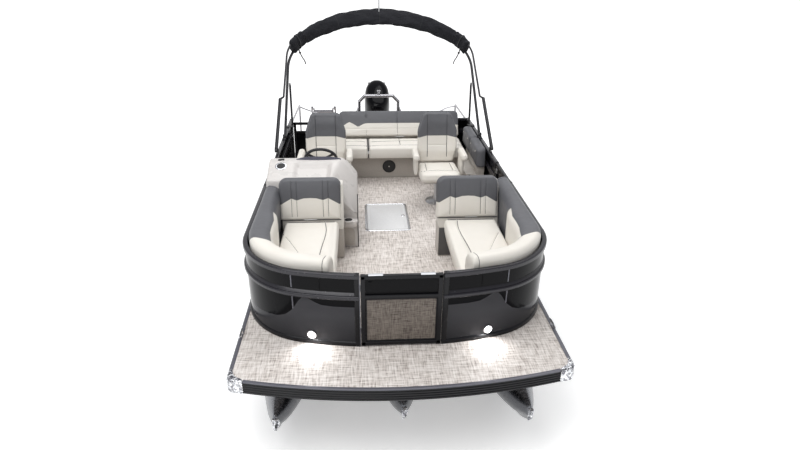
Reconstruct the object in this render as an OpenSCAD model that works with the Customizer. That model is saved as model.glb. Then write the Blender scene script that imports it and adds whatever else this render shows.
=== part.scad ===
// Three-tube pontoon boat with bow lounges, helm, stern bench, folded bimini and outboard.
// Millimetres. X runs to port, Y runs aft from the bow, Z is up from the floor under the keels.

/* [Hull] */
// Beam over the deck's rub rail
beam = 2590; // [2580:2:2600]
// Deck length on the centreline, bow edge to stern edge
deck_l = 6130; // [6120:2:6140]
// How far the ends of the bow edge lie behind its middle
bow_sag = 167; // [160:1:175]
// Diameter of each pontoon tube
tube_d = 635; // [625:1:640]
// Distance from the centreline to the outer tubes' axes
tube_x = 960; // [950:1:962]
// Height of the deck's surface above the keels' undersides
deck_z = 785; // [780:1:795]
// Height of the rub rail round the deck
trim_h = 96; // [90:1:98]

/* [Fence] */
// Height of the fence above the deck
fence_h = 650; // [640:2:660]
// Distance from the centreline to the fence's outer face
fence_x = 1283; // [1279:1:1285]
// Distance from the deck's bow edge to the fence's front
fence_y = 494; // [488:1:500]
// Plan radius of the fence's front
front_r = 3200; // [3100:20:3300]
// Plan radius of the fence's bow corners
corner_r = 660; // [650:2:670]
// Width of the bow gate's opening
gate_w = 640; // [630:2:650]

/* [Seating] */
// Height of the lounge seats above the deck
lounge_seat_h = 440; // [430:2:446]
// Height of the captain's chairs above the deck
chair_h = 1040; // [1020:5:1060]
// Distance from the bow edge to the chairs' pivots
chair_y = 3400; // [3395:1:3410]
// Height of the bench's seat above the deck
bench_seat_h = 500; // [490:2:506]

/* [Helm] */
// Diameter of the steering wheel
wheel_d = 360; // [340:2:364]
// Tilt of the steering wheel's axis above the horizontal
wheel_tilt = 35; // [34:0.5:36]

/* [Bimini] */
// Slope of the main bow's legs above the horizontal
bow_slope = 41; // [40:0.5:42]
// Slope of the front bow's legs above the horizontal
front_slope = 33; // [32.5:0.5:33.5]

/* [Outboard] */
// Angle that the outboard is tilted up when parked
park_tilt = 32; // [31:0.5:34]

/* [Hidden] */

// Where the origin lies behind the deck's bow edge
origin_y = 3655;

half_beam = beam / 2;

// Tubes
tube_r = tube_d / 2;
keel_h = 20;
keel_w = 40;
tube_z = keel_h + tube_r;
nose_l = 1350;
outer_nose_y = 80;
center_nose_y = 150;
tube_end_y = 5950;
eye_hole_r = 14;
hinge_pin_r = 2.8;

// Deck
slab_t = 28;
trim_t = 22;
lip_w = 30;
lip_t = 4;
corner_fillet = 50;
bow_r = (half_beam * half_beam + bow_sag * bow_sag) / (2 * bow_sag);
casting_reach = 118;
beam_h = 50;
beam_pitch = 406;
beam_z = deck_z - slab_t - beam_h;
hatch_w = 485;
hatch_l = 735;
hatch_y = 2948;

// Fence
rail_w = 38;
rail_h = 38;
mid_rail_z = 425;
mid_rail_h = 80;
panel_t = 12;
fence_end = 4918;
side_gate_y = 2368;
side_gate_l = 594;
stern_gate_x = -568;
post_x = gate_w / 2;

// Lounges
base_top = 325;
pad_top = 725;
pad_w = 190;
lounge_in = 520;
lounge_out = 1062;
lounge_aft = 1945;
shell_y = 1960;
shell_end = 2190;

// Helm
helm_x = -725;
wheel_y = 2840;
wheel_z = deck_z + 760;
helm_chair_x = -710;
companion_chair_x = 650;
pedestal_h = 300;

// Bimini
mount_z = deck_z + fence_h + 40;
main_mount_y = 3930;
front_mount_y = 3350;
main_x = 1239;
front_x = 1278;
strut_x = 1205;
main_tube_r = 14;
front_tube_r = 20;
strut_r = 14;

// Stern
ladder_x = -870;
ladder_half = 185;
ladder_y = deck_l + 26;
ladder_z = deck_z + 30;
tilt_y = 6470;
tilt_z = 725;
steer_y = 75;
prop_z = -780;

module station() {
    translate([0, -origin_y, 0]) children();
}

module mirrored_x() {
    children();
    mirror([1, 0, 0]) children();
}

// Straight tube between two points
module rod(a, b, r) {
    d = b - a;
    l = norm(d);
    translate(a) rotate([0, acos(d[2] / l), atan2(d[1], d[0])]) cylinder(r = r, h = l, $fn = 32);
}

// Tube through a list of points, with round elbows
module pipe(points, r) {
    for (i = [0 : len(points) - 2]) rod(points[i], points[i + 1], r);
    for (i = [1 : len(points) - 2]) translate(points[i]) sphere(r = r + 1.5, $fn = 32);
}

// Solid whose side view is a polygon of [y, z] points, from x0 to x1
module side_profile(points, x0, x1) {
    translate([x0, 0, 0]) rotate([90, 0, 90]) linear_extrude(x1 - x0) polygon(points);
}

// ---- Pontoons ----

module nose_disc(y, z, r) {
    translate([0, y, z]) rotate([-90, 0, 0]) cylinder(r = r, h = 2, $fn = 48);
}

// Sections of a nose: distance behind its tip, height of its underside, radius
nose_rings = [[40, 375, 35], [100, 326, 62], [200, 254, 98], [320, 190, 130], [460, 132, 165],
    [620, 85, 205], [800, 50, 245], [1000, 31, 285], [1200, 22, 310]];

module nose(nose_y) {
    hull() {
        nose_disc(nose_y + nose_l - 2, tube_z, tube_r);
        for (ring = nose_rings) nose_disc(nose_y + ring[0], ring[1] + ring[2], ring[2]);
        translate([-12, nose_y, deck_z - 385]) cube([24, 10, 60]);
    }
}

module strake() {
    polygon([[250, -150], [335, -168], [225, -215]]);
}

module pontoon(nose_y) {
    straight_y = nose_y + nose_l;
    straight_l = tube_end_y - straight_y;
    riser_z = tube_z + 255;
    translate([0, straight_y, tube_z]) rotate([-90, 0, 0])
        cylinder(r = tube_r, h = straight_l, $fn = 96);
    nose(nose_y);
    // Keel
    translate([-keel_w / 2, straight_y - 60, 0]) cube([keel_w, straight_l + 60, keel_h + 12]);
    // Lifting strakes and the risers that carry the cross members
    for (s = [-1, 1]) {
        translate([0, tube_end_y, tube_z]) rotate([90, 0, 0])
            linear_extrude(straight_l - 150) scale([s, 1]) strake();
        translate([s * 130 - 5, straight_y - 560, riser_z - 40])
            cube([10, straight_l + 500, beam_z - riser_z + 40]);
        translate([s * 155 - 30, straight_y - 560, beam_z - 8]) cube([60, straight_l + 500, 8]);
    }
    // Towing eye on the stem
    difference() {
        translate([-7, nose_y - 46, deck_z - 372]) cube([14, 60, 60]);
        translate([-20, nose_y - 24, deck_z - 342]) rotate([0, 90, 0])
            cylinder(r = eye_hole_r, h = 40, $fn = 32);
    }
}

module starboard_pontoon() {
    color("silver") station() translate([-tube_x, 0, 0]) pontoon(outer_nose_y);
}

module port_pontoon() {
    color("silver") station() translate([tube_x, 0, 0]) pontoon(outer_nose_y);
}

// The middle tube is cut open for the floor locker
module center_pontoon() {
    color("silver") station() difference() {
        pontoon(center_nose_y);
        translate([-hatch_w / 2 - 3, hatch_y - hatch_l / 2 - 3, deck_z - 323])
            cube([hatch_w + 6, hatch_l + 6, 400]);
    }
}

// ---- Deck ----

// Plan of the deck, drawn in by inset, with rounded corners
module deck_outline(inset) {
    r = corner_fillet - inset;
    cx = half_beam - corner_fillet;
    cy = bow_r - sqrt(pow(bow_r - corner_fillet, 2) - cx * cx);
    lean = [cx, cy - bow_r] / (bow_r - corner_fillet);
    difference() {
        intersection() {
            translate([-half_beam + inset, -1]) square([beam - 2 * inset, deck_l + 1 - inset]);
            translate([0, bow_r]) circle(r = bow_r - inset, $fn = 720);
        }
        for (s = [-1, 1]) scale([s, 1]) {
            translate([cx, cy]) difference() {
                polygon([[0, 0], [150, 0], [150, -150], 150 * lean]);
                circle(r = r, $fn = 64);
            }
            translate([cx, deck_l - corner_fillet]) difference() {
                square([80, 80]);
                circle(r = r, $fn = 64);
            }
        }
    }
}

// The four corners of the deck
module deck_corners(r) {
    for (x = [-half_beam, half_beam], y = [bow_sag, deck_l]) translate([x, y]) circle(r = r, $fn = 64);
}

module cross_members() {
    color("gainsboro") station() difference() {
        for (i = [0 : 13]) translate([-1240, 330 + i * beam_pitch, beam_z])
            rotate([90, 0, 90]) linear_extrude(2480)
                polygon([[0, 0], [38, 0], [38, 5], [5, 5], [5, beam_h - 5],
                    [38, beam_h - 5], [38, beam_h], [0, beam_h]]);
        translate([-hatch_w / 2 - 8, hatch_y - hatch_l / 2 - 8, beam_z - 10])
            cube([hatch_w + 16, hatch_l + 16, beam_h + 20]);
    }
}

module deck() {
    color("tan") station() translate([0, 0, deck_z - slab_t]) linear_extrude(slab_t) difference() {
        deck_outline(trim_t);
        translate([-hatch_w / 2, hatch_y - hatch_l / 2]) square([hatch_w, hatch_l]);
    }
}

module deck_trim() {
    color("dimgray") station() {
        translate([0, 0, deck_z - trim_h]) linear_extrude(trim_h) difference() {
            deck_outline(0);
            deck_outline(trim_t);
            deck_corners(casting_reach);
        }
        translate([0, 0, deck_z]) linear_extrude(lip_t) difference() {
            deck_outline(0);
            deck_outline(lip_w);
            deck_corners(casting_reach);
            fence_zone(-2);
        }
    }
}

module deck_castings() {
    color("lightgray") station() {
        // Corner castings
        translate([0, 0, deck_z - trim_h - 2]) linear_extrude(trim_h + 2) intersection() {
            difference() {
                deck_outline(-4);
                deck_outline(trim_t);
            }
            deck_corners(casting_reach - 0.5);
        }
        translate([0, 0, deck_z]) linear_extrude(8) intersection() {
            deck_outline(-4);
            deck_corners(casting_reach - 0.5);
        }
        // Mooring cleats on the rub rail
        for (s = [-1, 1], y = [700, 5400]) translate([s * (half_beam - 15), y, deck_z + lip_t]) {
            for (e = [-1, 1]) translate([-7, e * 28 - 8, 0]) cube([14, 16, 22]);
            translate([-8, -75, 22]) cube([16, 150, 12]);
        }
    }
}

// ---- Floor hatch ----

module hatch_frame() {
    color("gainsboro") station() difference() {
        union() {
            translate([-hatch_w / 2, hatch_y - hatch_l / 2, deck_z - 320]) cube([hatch_w, hatch_l, 320]);
            translate([-hatch_w / 2 - 8, hatch_y - hatch_l / 2 - 8, deck_z])
                cube([hatch_w + 16, hatch_l + 16, 3]);
        }
        translate([-hatch_w / 2 + 12, hatch_y - hatch_l / 2 + 12, deck_z - 314])
            cube([hatch_w - 24, hatch_l - 24, 400]);
        translate([-hatch_w / 2 + 8, hatch_y - hatch_l / 2 + 8, deck_z - 16])
            cube([hatch_w - 16, hatch_l - 16, 400]);
    }
}

module hatch_lid() {
    inset = 14;
    x = -hatch_w / 2 + 10.5;
    color("whitesmoke") station() {
        translate([-hatch_w / 2 + inset, hatch_y - hatch_l / 2 + inset, deck_z - 10])
            cube([hatch_w - 2 * inset, hatch_l - 2 * inset, 12]);
        for (e = [-1, 1]) translate([x, hatch_y + e * 240 - 30, deck_z]) {
            translate([0, 0, 6]) rotate([-90, 0, 0]) cylinder(r = hinge_pin_r, h = 60, $fn = 24);
            translate([0, 5, 3.5]) cube([4, 50, 4]);
            translate([4, 5, 1]) cube([12, 50, 6.5]);
        }
    }
}

// ---- Fence ----

// Plan of everything inside the fence's outer face, drawn in by inset
module fence_zone(inset) {
    cx = fence_x - corner_r;
    cy = fence_y + front_r - sqrt(pow(front_r - corner_r, 2) - cx * cx);
    tx = cx * (front_r - inset) / (front_r - corner_r);
    intersection() {
        translate([0, fence_y + front_r]) circle(r = front_r - inset, $fn = 720);
        union() {
            translate([-tx, fence_y - 60]) square([2 * tx, fence_end - fence_y + 60 - inset]);
            translate([-fence_x + inset, cy])
                square([2 * (fence_x - inset), fence_end - cy - inset]);
            for (s = [-1, 1]) translate([s * cx, cy]) circle(r = corner_r - inset, $fn = 128);
        }
    }
}

module fence_ring(outer, inner) {
    difference() {
        fence_zone(outer);
        fence_zone(inner);
    }
}

// Wall of rails and panel along the part of the fence that a plan region covers
module fence_wall() {
    for (band = [[0, rail_h], [mid_rail_z, mid_rail_h], [fence_h - rail_h, rail_h]])
        translate([0, 0, deck_z + band[0]]) linear_extrude(band[1]) intersection() {
            fence_ring(0, rail_w);
            children();
        }
    translate([0, 0, deck_z + rail_h]) linear_extrude(fence_h - 2 * rail_h) intersection() {
        fence_ring(10, 10 + panel_t);
        children();
    }
}

// Upright where the fence ends
module fence_post(x, y) {
    translate([x, y, deck_z]) cube([rail_w, rail_w, fence_h]);
}

module bow_fence_region() {
    translate([post_x, 0]) square([2000, side_gate_y - 4]);
}

module bow_fence_end() {
    // Gate post, following the fence's curve, and the post at the aft end
    translate([0, 0, deck_z]) linear_extrude(fence_h) intersection() {
        fence_ring(0, rail_w);
        union() {
            translate([post_x, 0]) square([rail_w, 900]);
            translate([1000, side_gate_y - 4 - rail_w]) square([400, rail_w]);
        }
    }
}

module bow_fence_port() {
    color("black") station() {
        fence_wall() bow_fence_region();
        bow_fence_end();
    }
}

module bow_fence_starboard() {
    color("black") station() mirror([1, 0, 0]) {
        fence_wall() bow_fence_region();
        bow_fence_end();
    }
}

// Side fence on the port side from start_y aft
module side_fence(start_y) {
    end_y = fence_end - rail_w - 1;
    fence_wall() translate([1000, start_y]) square([400, end_y - start_y]);
    fence_post(fence_x - rail_w, start_y);
    fence_post(fence_x - rail_w, end_y - rail_w);
}

module side_fence_port() {
    color("black") station() side_fence(side_gate_y + side_gate_l + 6);
}

module side_fence_starboard() {
    color("black") station() mirror([1, 0, 0]) side_fence(side_gate_y - 3);
}

module stern_fence() {
    color("black") station() {
        fence_wall() translate([stern_gate_x + 5, fence_end - rail_w])
            square([fence_x - stern_gate_x, rail_w]);
        fence_post(stern_gate_x + 5, fence_end - rail_w);
        fence_post(fence_x - rail_w, fence_end - rail_w);
        fence_post(-fence_x, fence_end - rail_w);
    }
}

// Flat gate with a frame and a panel; its width runs along X
// A gate from its lower outer corner; pin is the place of its hinge line
module gate(w, t, panel_z, panel_h, pin) {
    gate_h = fence_h - 12;
    for (z = [90, 500]) {
        translate([pin[0], pin[1], z]) cylinder(r = hinge_pin_r, h = 60, $fn = 24);
        leaf_y = pin[1] < 0 ? [pin[1], 3] : [t - 3, pin[1]];
        translate([pin[0], leaf_y[0], z + 5]) cube([3 - pin[0], leaf_y[1] - leaf_y[0], 50]);
    }
    for (x = [0, w - rail_w]) translate([x, 0, 0]) cube([rail_w, t, gate_h]);
    for (z = [0, mid_rail_z - 12, gate_h - rail_h]) translate([0, 0, z]) cube([w, t, rail_h]);
    translate([10, t / 2 - 5, panel_z]) cube([w - 20, 10, panel_h]);
}

module bow_gate() {
    w = gate_w - 2 * 8;
    color("dimgray") station() translate([-w / 2, fence_y + 12, deck_z + 12])
        gate(w, rail_w - 4, 10, fence_h - 40, [-4, rail_w + 2]);
}

module side_gate() {
    w = side_gate_l - 8;
    color("black") station() translate([fence_x, side_gate_y + 4, deck_z + 12])
        rotate([0, 0, 90]) gate(w, rail_w, 10, fence_h - 40, [-4, rail_w + 4]);
}

module stern_gate() {
    w = fence_x - rail_w + stern_gate_x - 10;
    color("black") station() translate([stern_gate_x - 3 - w, fence_end - rail_w + 2, deck_z + 12])
        gate(w, rail_w - 4, 10, mid_rail_z, [-4, -4]);
}

module docking_lights() {
    lamp_y = fence_y + 62;
    color("white") station() for (s = [-1, 1]) translate([s * 700, lamp_y, deck_z + 85])
        rotate([90, 0, s * 13]) cylinder(r = 32, h = 40, $fn = 48);
}

// ---- Bow lounges, drawn on the port side ----

module lounge_base() {
    // Storage box under the seat
    translate([0, 0, deck_z]) linear_extrude(base_top - 15) difference() {
        intersection() {
            fence_zone(45);
            translate([640, 560]) square([700, shell_y - 560]);
        }
        intersection() {
            fence_zone(60);
            translate([655, 575]) square([700, shell_y - 590]);
        }
    }
    // Shelf that carries the pads
    translate([0, 0, deck_z + base_top - 15]) linear_extrude(15) difference() {
        intersection() {
            fence_zone(45);
            translate([560, 560]) square([800, shell_y - 560]);
        }
        translate([670, 1010]) square([380, shell_y - 1040]);
    }
    // Moulded shell behind the backrest
    side_profile([[shell_y + 0.2, deck_z], [shell_end, deck_z], [shell_end, deck_z + 762],
        [shell_end - 40, deck_z + 775], [shell_y + 132, deck_z + 752],
        [shell_y + 0.2, deck_z + 330]], 470, 1069);
}

// Hinge knuckle on the upper aft edge of a lift-up seat
module lid_hinge(x, y, z) {
    translate([x - 60, y + 4, z + 4]) rotate([0, 90, 0]) cylinder(r = hinge_pin_r, h = 120, $fn = 24);
    translate([x - 55, y - 6, z - 4]) cube([110, 10, 8]);
}

module lounge_seat() {
    translate([0, 0, deck_z + base_top + 5]) linear_extrude(lounge_seat_h - base_top - 5)
        intersection() {
            fence_zone(45 + pad_w + 12);
            translate([lounge_in, 560]) square([lounge_out - lounge_in, lounge_aft - 560]);
        }
    lid_hinge(791, lounge_aft, deck_z + lounge_seat_h);
}

module lounge_back() {
    side_profile([[shell_y - 6, deck_z + lounge_seat_h + 10], [shell_y + 90, deck_z + 800],
        [shell_y + 210, deck_z + 830], [shell_y + 225, deck_z + 800],
        [shell_y + 124, deck_z + 766], [shell_y + 2, deck_z + lounge_seat_h - 5]], 500, 1066);
}

module lounge_pads() {
    // Pad along the fence's curved front
    translate([0, 0, deck_z + base_top + 1]) linear_extrude(pad_top - base_top) intersection() {
        fence_ring(48, 45 + pad_w);
        translate([560, 500]) square([700, 530]);
    }
    // Pad along the fence's side
    translate([0, 0, deck_z + base_top + 1]) linear_extrude(pad_top - base_top) intersection() {
        fence_zone(48);
        translate([1074, 1040]) square([200, 1150]);
    }
}

module lounge_base_port() {
    color("rosybrown") station() lounge_base();
}

module lounge_seat_port() {
    color("ivory") station() lounge_seat();
}

module lounge_back_port() {
    color("dimgray") station() lounge_back();
}

module lounge_pads_port() {
    color("ivory") station() lounge_pads();
}

module lounge_base_starboard() {
    color("rosybrown") station() mirror([1, 0, 0]) lounge_base();
}

module lounge_seat_starboard() {
    color("ivory") station() mirror([1, 0, 0]) lounge_seat();
}

module lounge_back_starboard() {
    color("dimgray") station() mirror([1, 0, 0]) lounge_back();
}

module lounge_pads_starboard() {
    color("ivory") station() mirror([1, 0, 0]) lounge_pads();
}

// ---- Helm ----

module helm_console() {
    z = deck_z;
    color("white") station() difference() {
        side_profile([[2200, z], [2200, z + 600], [2238, z + 745], [2520, z + 850],
            [2615, z + 855], [2802, z + 587], [2760, z + 540], [2600, z + 480], [2570, z]],
            -1235, -330);
        // Sloping inboard shoulder above the front corner
        translate([-330, 2190, z + 600]) rotate([0, 0, 22]) translate([0, -60, 0])
            cube([400, 900, 400]);
    }
}

module windscreen() {
    z = deck_z + 853;
    color("darkslategray") station()
        side_profile([[2530, z], [2538, z], [2570, z + 55], [2562, z + 55]], -958, -497);
}

module steering_wheel() {
    rim_r = 13;
    color("black") station() translate([helm_x, wheel_y, wheel_z])
        rotate([-90 + wheel_tilt, 0, 0]) {
            rotate_extrude($fn = 96) translate([wheel_d / 2 - rim_r, 0]) circle(r = rim_r, $fn = 32);
            translate([0, 0, -22]) cylinder(r = 42, h = 30, $fn = 48);
            for (a = [90, 210, 330]) rotate([0, 0, a]) translate([20, -12, -8])
                cube([wheel_d / 2 - rim_r - 24, 24, 10]);
            translate([0, 0, -128]) cylinder(r = 20, h = 108, $fn = 32);
        }
}

// ---- Captain's chairs, drawn at their pivot and facing the bow ----

module chair_frame() {
    z = deck_z + pedestal_h + 6;
    translate([0, 0, z]) cylinder(r = 60, h = 20, $fn = 48);
    translate([-190, -220, z + 20]) cube([380, 420, 22]);
    // Arm brackets
    for (s = [-1, 1]) translate([s * 262 - 10, -60, z + 20]) cube([20, 160, 260]);
    for (s = [-1, 1]) translate([s * 225 - 45, -10, z + 20]) cube([90, 60, 22]);
}

module chair_cushions() {
    z = deck_z + pedestal_h + 54;
    seat_top = z + 120;
    // Seat
    translate([-240, -290, z]) cube([480, 470, 120]);
    // Back
    side_profile([[165, seat_top + 12], [275, deck_z + chair_h], [345, deck_z + chair_h - 20],
        [330, deck_z + 700], [290, seat_top + 12]], -238, 238);
    // Arm pads
    for (s = [-1, 1]) translate([s * 290 - 32, -190, deck_z + 594]) cube([64, 330, 70]);
}

module chair_pedestals() {
    color("gray") station() for (x = [helm_chair_x, companion_chair_x]) translate([x, chair_y, deck_z]) {
        cylinder(r = 160, h = 14, $fn = 64);
        cylinder(r = 45, h = pedestal_h, $fn = 48);
    }
}

module helm_chair_frame() {
    color("dimgray") station() translate([helm_chair_x, chair_y, 0]) chair_frame();
}

module helm_chair_cushions() {
    color("ivory") station() translate([helm_chair_x, chair_y, 0]) chair_cushions();
}

module companion_chair_frame() {
    color("dimgray") station() translate([companion_chair_x, chair_y, 0]) chair_frame();
}

module companion_chair_cushions() {
    color("ivory") station() translate([companion_chair_x, chair_y, 0]) chair_cushions();
}

// ---- Stern bench ----

bench_in = -560;
bench_out = 1235;

module bench_base() {
    z = deck_z;
    color("rosybrown") station() {
        difference() {
            translate([bench_in, 4235, z]) cube([bench_out - bench_in, 630, 330]);
            translate([bench_in + 15, 4250, z - 1]) cube([bench_out - bench_in - 30, 375, 400]);
        }
        // Sloping support behind the backrest
        side_profile([[4650, z + 329], [4865, z + 329], [4865, z + 760], [4800, z + 780]],
            bench_in, bench_out);
        // Return along the port quarter
        translate([1000, 3450, z]) cube([235, 780, 330]);
        translate([1130, 3450, z + 329]) cube([105, 780, 96]);
    }
}

module bench_seat() {
    color("ivory") station() {
        translate([bench_in, 4050, deck_z + 335]) cube([1640 - 8, 440, bench_seat_h - 335]);
        lid_hinge(256, 4490, deck_z + bench_seat_h);
    }
}

module bench_back() {
    z = deck_z;
    color("dimgray") station() {
        side_profile([[4500, z + 512], [4632, z + 512], [4785, z + 830], [4655, z + 830]],
            bench_in, 1070);
        // Pad along the port quarter
        translate([1092, 3400, z + 430]) cube([134, 1040, 230]);
    }
}

// ---- Bimini ----

main_leg = 1070;
main_arc_end = 50.0;
front_leg = 1580;
front_arc_end = 47.0;
front_thin_x = 1238;
shoulder = 600;
strut_v = 800;
boot_slope = 37;
boot_mount_y = main_mount_y - 238;
boot_x = 1232;
boot_leg = 1287;
boot_rise = 845;

// Radius of the crown arc that meets two shoulder arcs smoothly
function crown_radius(x, rise) =
    ((x - shoulder) * (x - shoulder) + rise * rise - shoulder * shoulder) / (2 * (rise - shoulder));

// Half of the angle that the crown arc spans
function crown_swing(x, rise) = atan2(x - shoulder, crown_radius(x, rise) - rise);

// Frame of a bow: origin between its pivots, Y along the legs, sloping aft
module bow_frame(pivot_y, slope) {
    translate([0, pivot_y, mount_z]) rotate([slope, 0, 0]) children();
}

// Sweep the child outline round one shoulder, from angle a to angle b
module shoulder_arc(x, leg, a, b) {
    translate([x - shoulder, leg, 0]) rotate([0, 0, a])
        rotate_extrude(angle = b - a, $fn = 96) translate([shoulder, 0]) children();
}

// Sweep the child outline along the crown, half_angle to either side of the middle
module crown_arc(x, leg, rise, half_angle) {
    crown_r = crown_radius(x, rise);
    translate([0, leg + rise - crown_r, 0]) rotate([0, 0, 90 - half_angle])
        rotate_extrude(angle = 2 * half_angle, $fn = 180) translate([crown_r, 0]) children();
}

// Straight leg and shoulder of one bow, on the port side, as far as the boot
module bow_half(x, start, leg, end_angle, r) {
    rod([x, start, 0], [x, leg, 0], r);
    shoulder_arc(x, leg, 0, end_angle) circle(r = r, $fn = 32);
}

module boot_solid() {
    bow_frame(boot_mount_y, boot_slope)
        crown_arc(boot_x, boot_leg, boot_rise, crown_swing(boot_x, boot_rise)) rotate(12.7) {
            square([136, 90], center = true);
            for (s = [-1, 1]) translate([s * 68, 0]) circle(r = 45, $fn = 48);
        }
}

module bimini_bows() {
    color("darkslategray") station() mirrored_x() {
        bow_frame(main_mount_y, bow_slope) {
            bow_half(main_x, 22, main_leg, main_arc_end, main_tube_r);
            // Hub on the pivot
            translate([main_x - 15.5, 0, 0]) rotate([0, 90, 0]) difference() {
                cylinder(r = 24, h = 31, $fn = 48);
                translate([0, 0, -1]) cylinder(r = 8.3, h = 35, $fn = 32);
            }
            // Pin that carries the strut
            translate([strut_x - 12, strut_v, 0]) rotate([0, 90, 0])
                cylinder(r = 6, h = main_x - strut_x + 6, $fn = 32);
        }
        bow_frame(front_mount_y, front_slope)
            bow_half(front_thin_x, 860, front_leg, front_arc_end, main_tube_r - 1);
    }
}

module bimini_boot() {
    color("dimgray") station() difference() {
        boot_solid();
        translate([0, 5390, deck_z + 1900]) cylinder(r = 9.3, h = 400, $fn = 32);
    }
}

module anchor_light() {
    color("white") station() translate([0, 5390, deck_z + 1960]) {
        cylinder(r = 9, h = 330, $fn = 32);
        translate([0, 0, 320]) cylinder(r = 24, h = 50, $fn = 48);
    }
}

module bimini_mounts() {
    z = deck_z + fence_h;
    color("silver") station() mirrored_x() {
        // Forks for the main bow
        translate([main_x - 2, main_mount_y - 40, z]) cube([38, 80, 8]);
        translate([main_x + 19, main_mount_y - 22, z]) cube([6, 44, 60]);
        translate([main_x - 18, main_mount_y, mount_z]) rotate([0, 90, 0])
            cylinder(r = 8, h = 42, $fn = 32);
        // Forks for the front legs
        translate([front_x - 32, front_mount_y - 38, z]) cube([34, 76, 8]);
        translate([front_x - 30, front_mount_y - 20, z]) cube([6, 40, 58]);
        translate([front_x - 24, front_mount_y, mount_z]) rotate([0, 90, 0])
            cylinder(r = 7, h = 42, $fn = 32);
        // Rests for the struts' feet
        translate([fence_x - 36, 4455, z]) cube([32, 70, 8]);
        translate([strut_x - 16, 4455, z + 6]) cube([fence_x - 4 - strut_x + 16, 70, 6]);
    }
}

module bimini_front_legs() {
    color("darkslategray") station() mirrored_x() bow_frame(front_mount_y, front_slope) {
        rod([front_x, 16, 0], [front_x, 800, 0], front_tube_r);
        rod([front_x, 790, 0], [front_x, 822, 0], front_tube_r + 1.5);
        translate([front_x - 16, 0, 0]) rotate([0, 90, 0]) difference() {
            cylinder(r = 21, h = 30, $fn = 48);
            translate([0, 0, -1]) cylinder(r = 7.3, h = 40, $fn = 32);
        }
    }
}

strut_y = main_mount_y + strut_v * cos(bow_slope);
strut_z = mount_z + strut_v * sin(bow_slope);

module bimini_struts() {
    foot = [strut_x, 4490, deck_z + fence_h + 34];
    color("silver") station() mirrored_x() {
        difference() {
            union() {
                translate([strut_x - 8, strut_y, strut_z]) rotate([0, 90, 0])
                    cylinder(r = 17, h = 16, $fn = 48);
                rod([strut_x, strut_y - 1, strut_z - 12], foot, strut_r);
            }
            translate([strut_x - 20, strut_y, strut_z]) rotate([0, 90, 0])
                cylinder(r = 6.3, h = 40, $fn = 32);
        }
        translate(foot) sphere(r = 16, $fn = 48);
    }
}

// ---- Stern ----

tow_y = 5650;
tow_x = 300;
tow_z = deck_z + 800;

module tow_bar() {
    color("silver") station() {
        pipe([[-tow_x, tow_y, deck_z], [-tow_x, tow_y, tow_z - 85], [-tow_x + 85, tow_y, tow_z],
            [tow_x - 85, tow_y, tow_z], [tow_x, tow_y, tow_z - 85], [tow_x, tow_y, deck_z]], 25);
        mirrored_x() {
            rod([tow_x, tow_y, tow_z - 150], [tow_x + 270, tow_y - 170, deck_z + 8], 17);
            translate([tow_x, tow_y, deck_z]) cylinder(r = 55, h = 8, $fn = 48);
            translate([tow_x + 270, tow_y - 170, deck_z]) cylinder(r = 40, h = 8, $fn = 48);
        }
        // Tow post on the crossbar
        translate([0, tow_y, tow_z + 10]) cylinder(r = 14, h = 70, $fn = 32);
        translate([0, tow_y, tow_z + 72]) cylinder(r = 26, h = 12, $fn = 48);
    }
}

module stern_rails() {
    color("silver") station() mirrored_x() {
        foot = deck_z + lip_t;
        pipe([[1250, 5960, foot], [1250, 5960, deck_z + 575], [1262, fence_end + 0.6, deck_z + 590]], 15);
        translate([1250, 5960, foot]) cylinder(r = 38, h = 8, $fn = 48);
    }
}

// Frame of the folded ladder: origin on its hinge, Z along its side rails
module ladder_frame() {
    translate([ladder_x, ladder_y, ladder_z]) rotate([ladder_lean, 0, 0]) children();
}

ladder_lean = 22;
ladder_l = 560;
fold_y = -23;

module ladder_brackets() {
    z = deck_z;
    color("silver") station() for (s = [-1, 1]) {
        side_profile([[6010, z], [6098, z], [6098, z + lip_t + 1], [6140, z + lip_t + 1],
            [ladder_y + 18, ladder_z - 14], [ladder_y + 18, ladder_z + 14],
            [ladder_y - 18, ladder_z + 17], [6030, z + 16]],
            ladder_x + s * 207 - 4, ladder_x + s * 207 + 4);
        translate([ladder_x + s * 191 - 19, ladder_y, ladder_z]) rotate([0, 90, 0])
            cylinder(r = 8, h = 38, $fn = 32);
    }
}

module ladder_upper() {
    color("silver") station() ladder_frame() {
        for (s = [-1, 1]) difference() {
            union() {
                translate([s * ladder_half, 0, 0]) cylinder(r = 13, h = ladder_l + 14, $fn = 32);
                translate([s * ladder_half - 12, 0, 0]) rotate([0, 90, 0])
                    cylinder(r = 17, h = 24, $fn = 48);
                translate([s * 170 - 8, fold_y - 14, ladder_l - 14]) cube([16, 28 - fold_y, 28]);
                translate([s * 156 - 16, fold_y, ladder_l]) rotate([0, 90, 0])
                    cylinder(r = 6, h = 32, $fn = 32);
            }
            translate([s * ladder_half - 20, 0, 0]) rotate([0, 90, 0])
                cylinder(r = 8.3, h = 40, $fn = 32);
        }
        for (z = [110, 270, 430]) translate([-178, -22, z]) cube([356, 44, 22]);
    }
}

module ladder_lower() {
    y = 2 * fold_y;
    color("silver") station() ladder_frame() {
        for (s = [-1, 1]) difference() {
            union() {
                translate([s * 148, y, 60]) cylinder(r = 11, h = ladder_l - 60, $fn = 32);
                translate([s * 148 - 8, fold_y, ladder_l]) rotate([0, 90, 0])
                    cylinder(r = 13, h = 16, $fn = 48);
                translate([s * 148 - 7, y - 8, ladder_l - 12]) cube([14, 8 - y + fold_y, 24]);
            }
            translate([s * 148 - 20, fold_y, ladder_l]) rotate([0, 90, 0])
                cylinder(r = 6.3, h = 40, $fn = 32);
        }
        for (z = [70, 190, 350, 510]) translate([-140, y - 25, z]) cube([280, 50, 22]);
    }
}

// ---- Outboard ----

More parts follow.
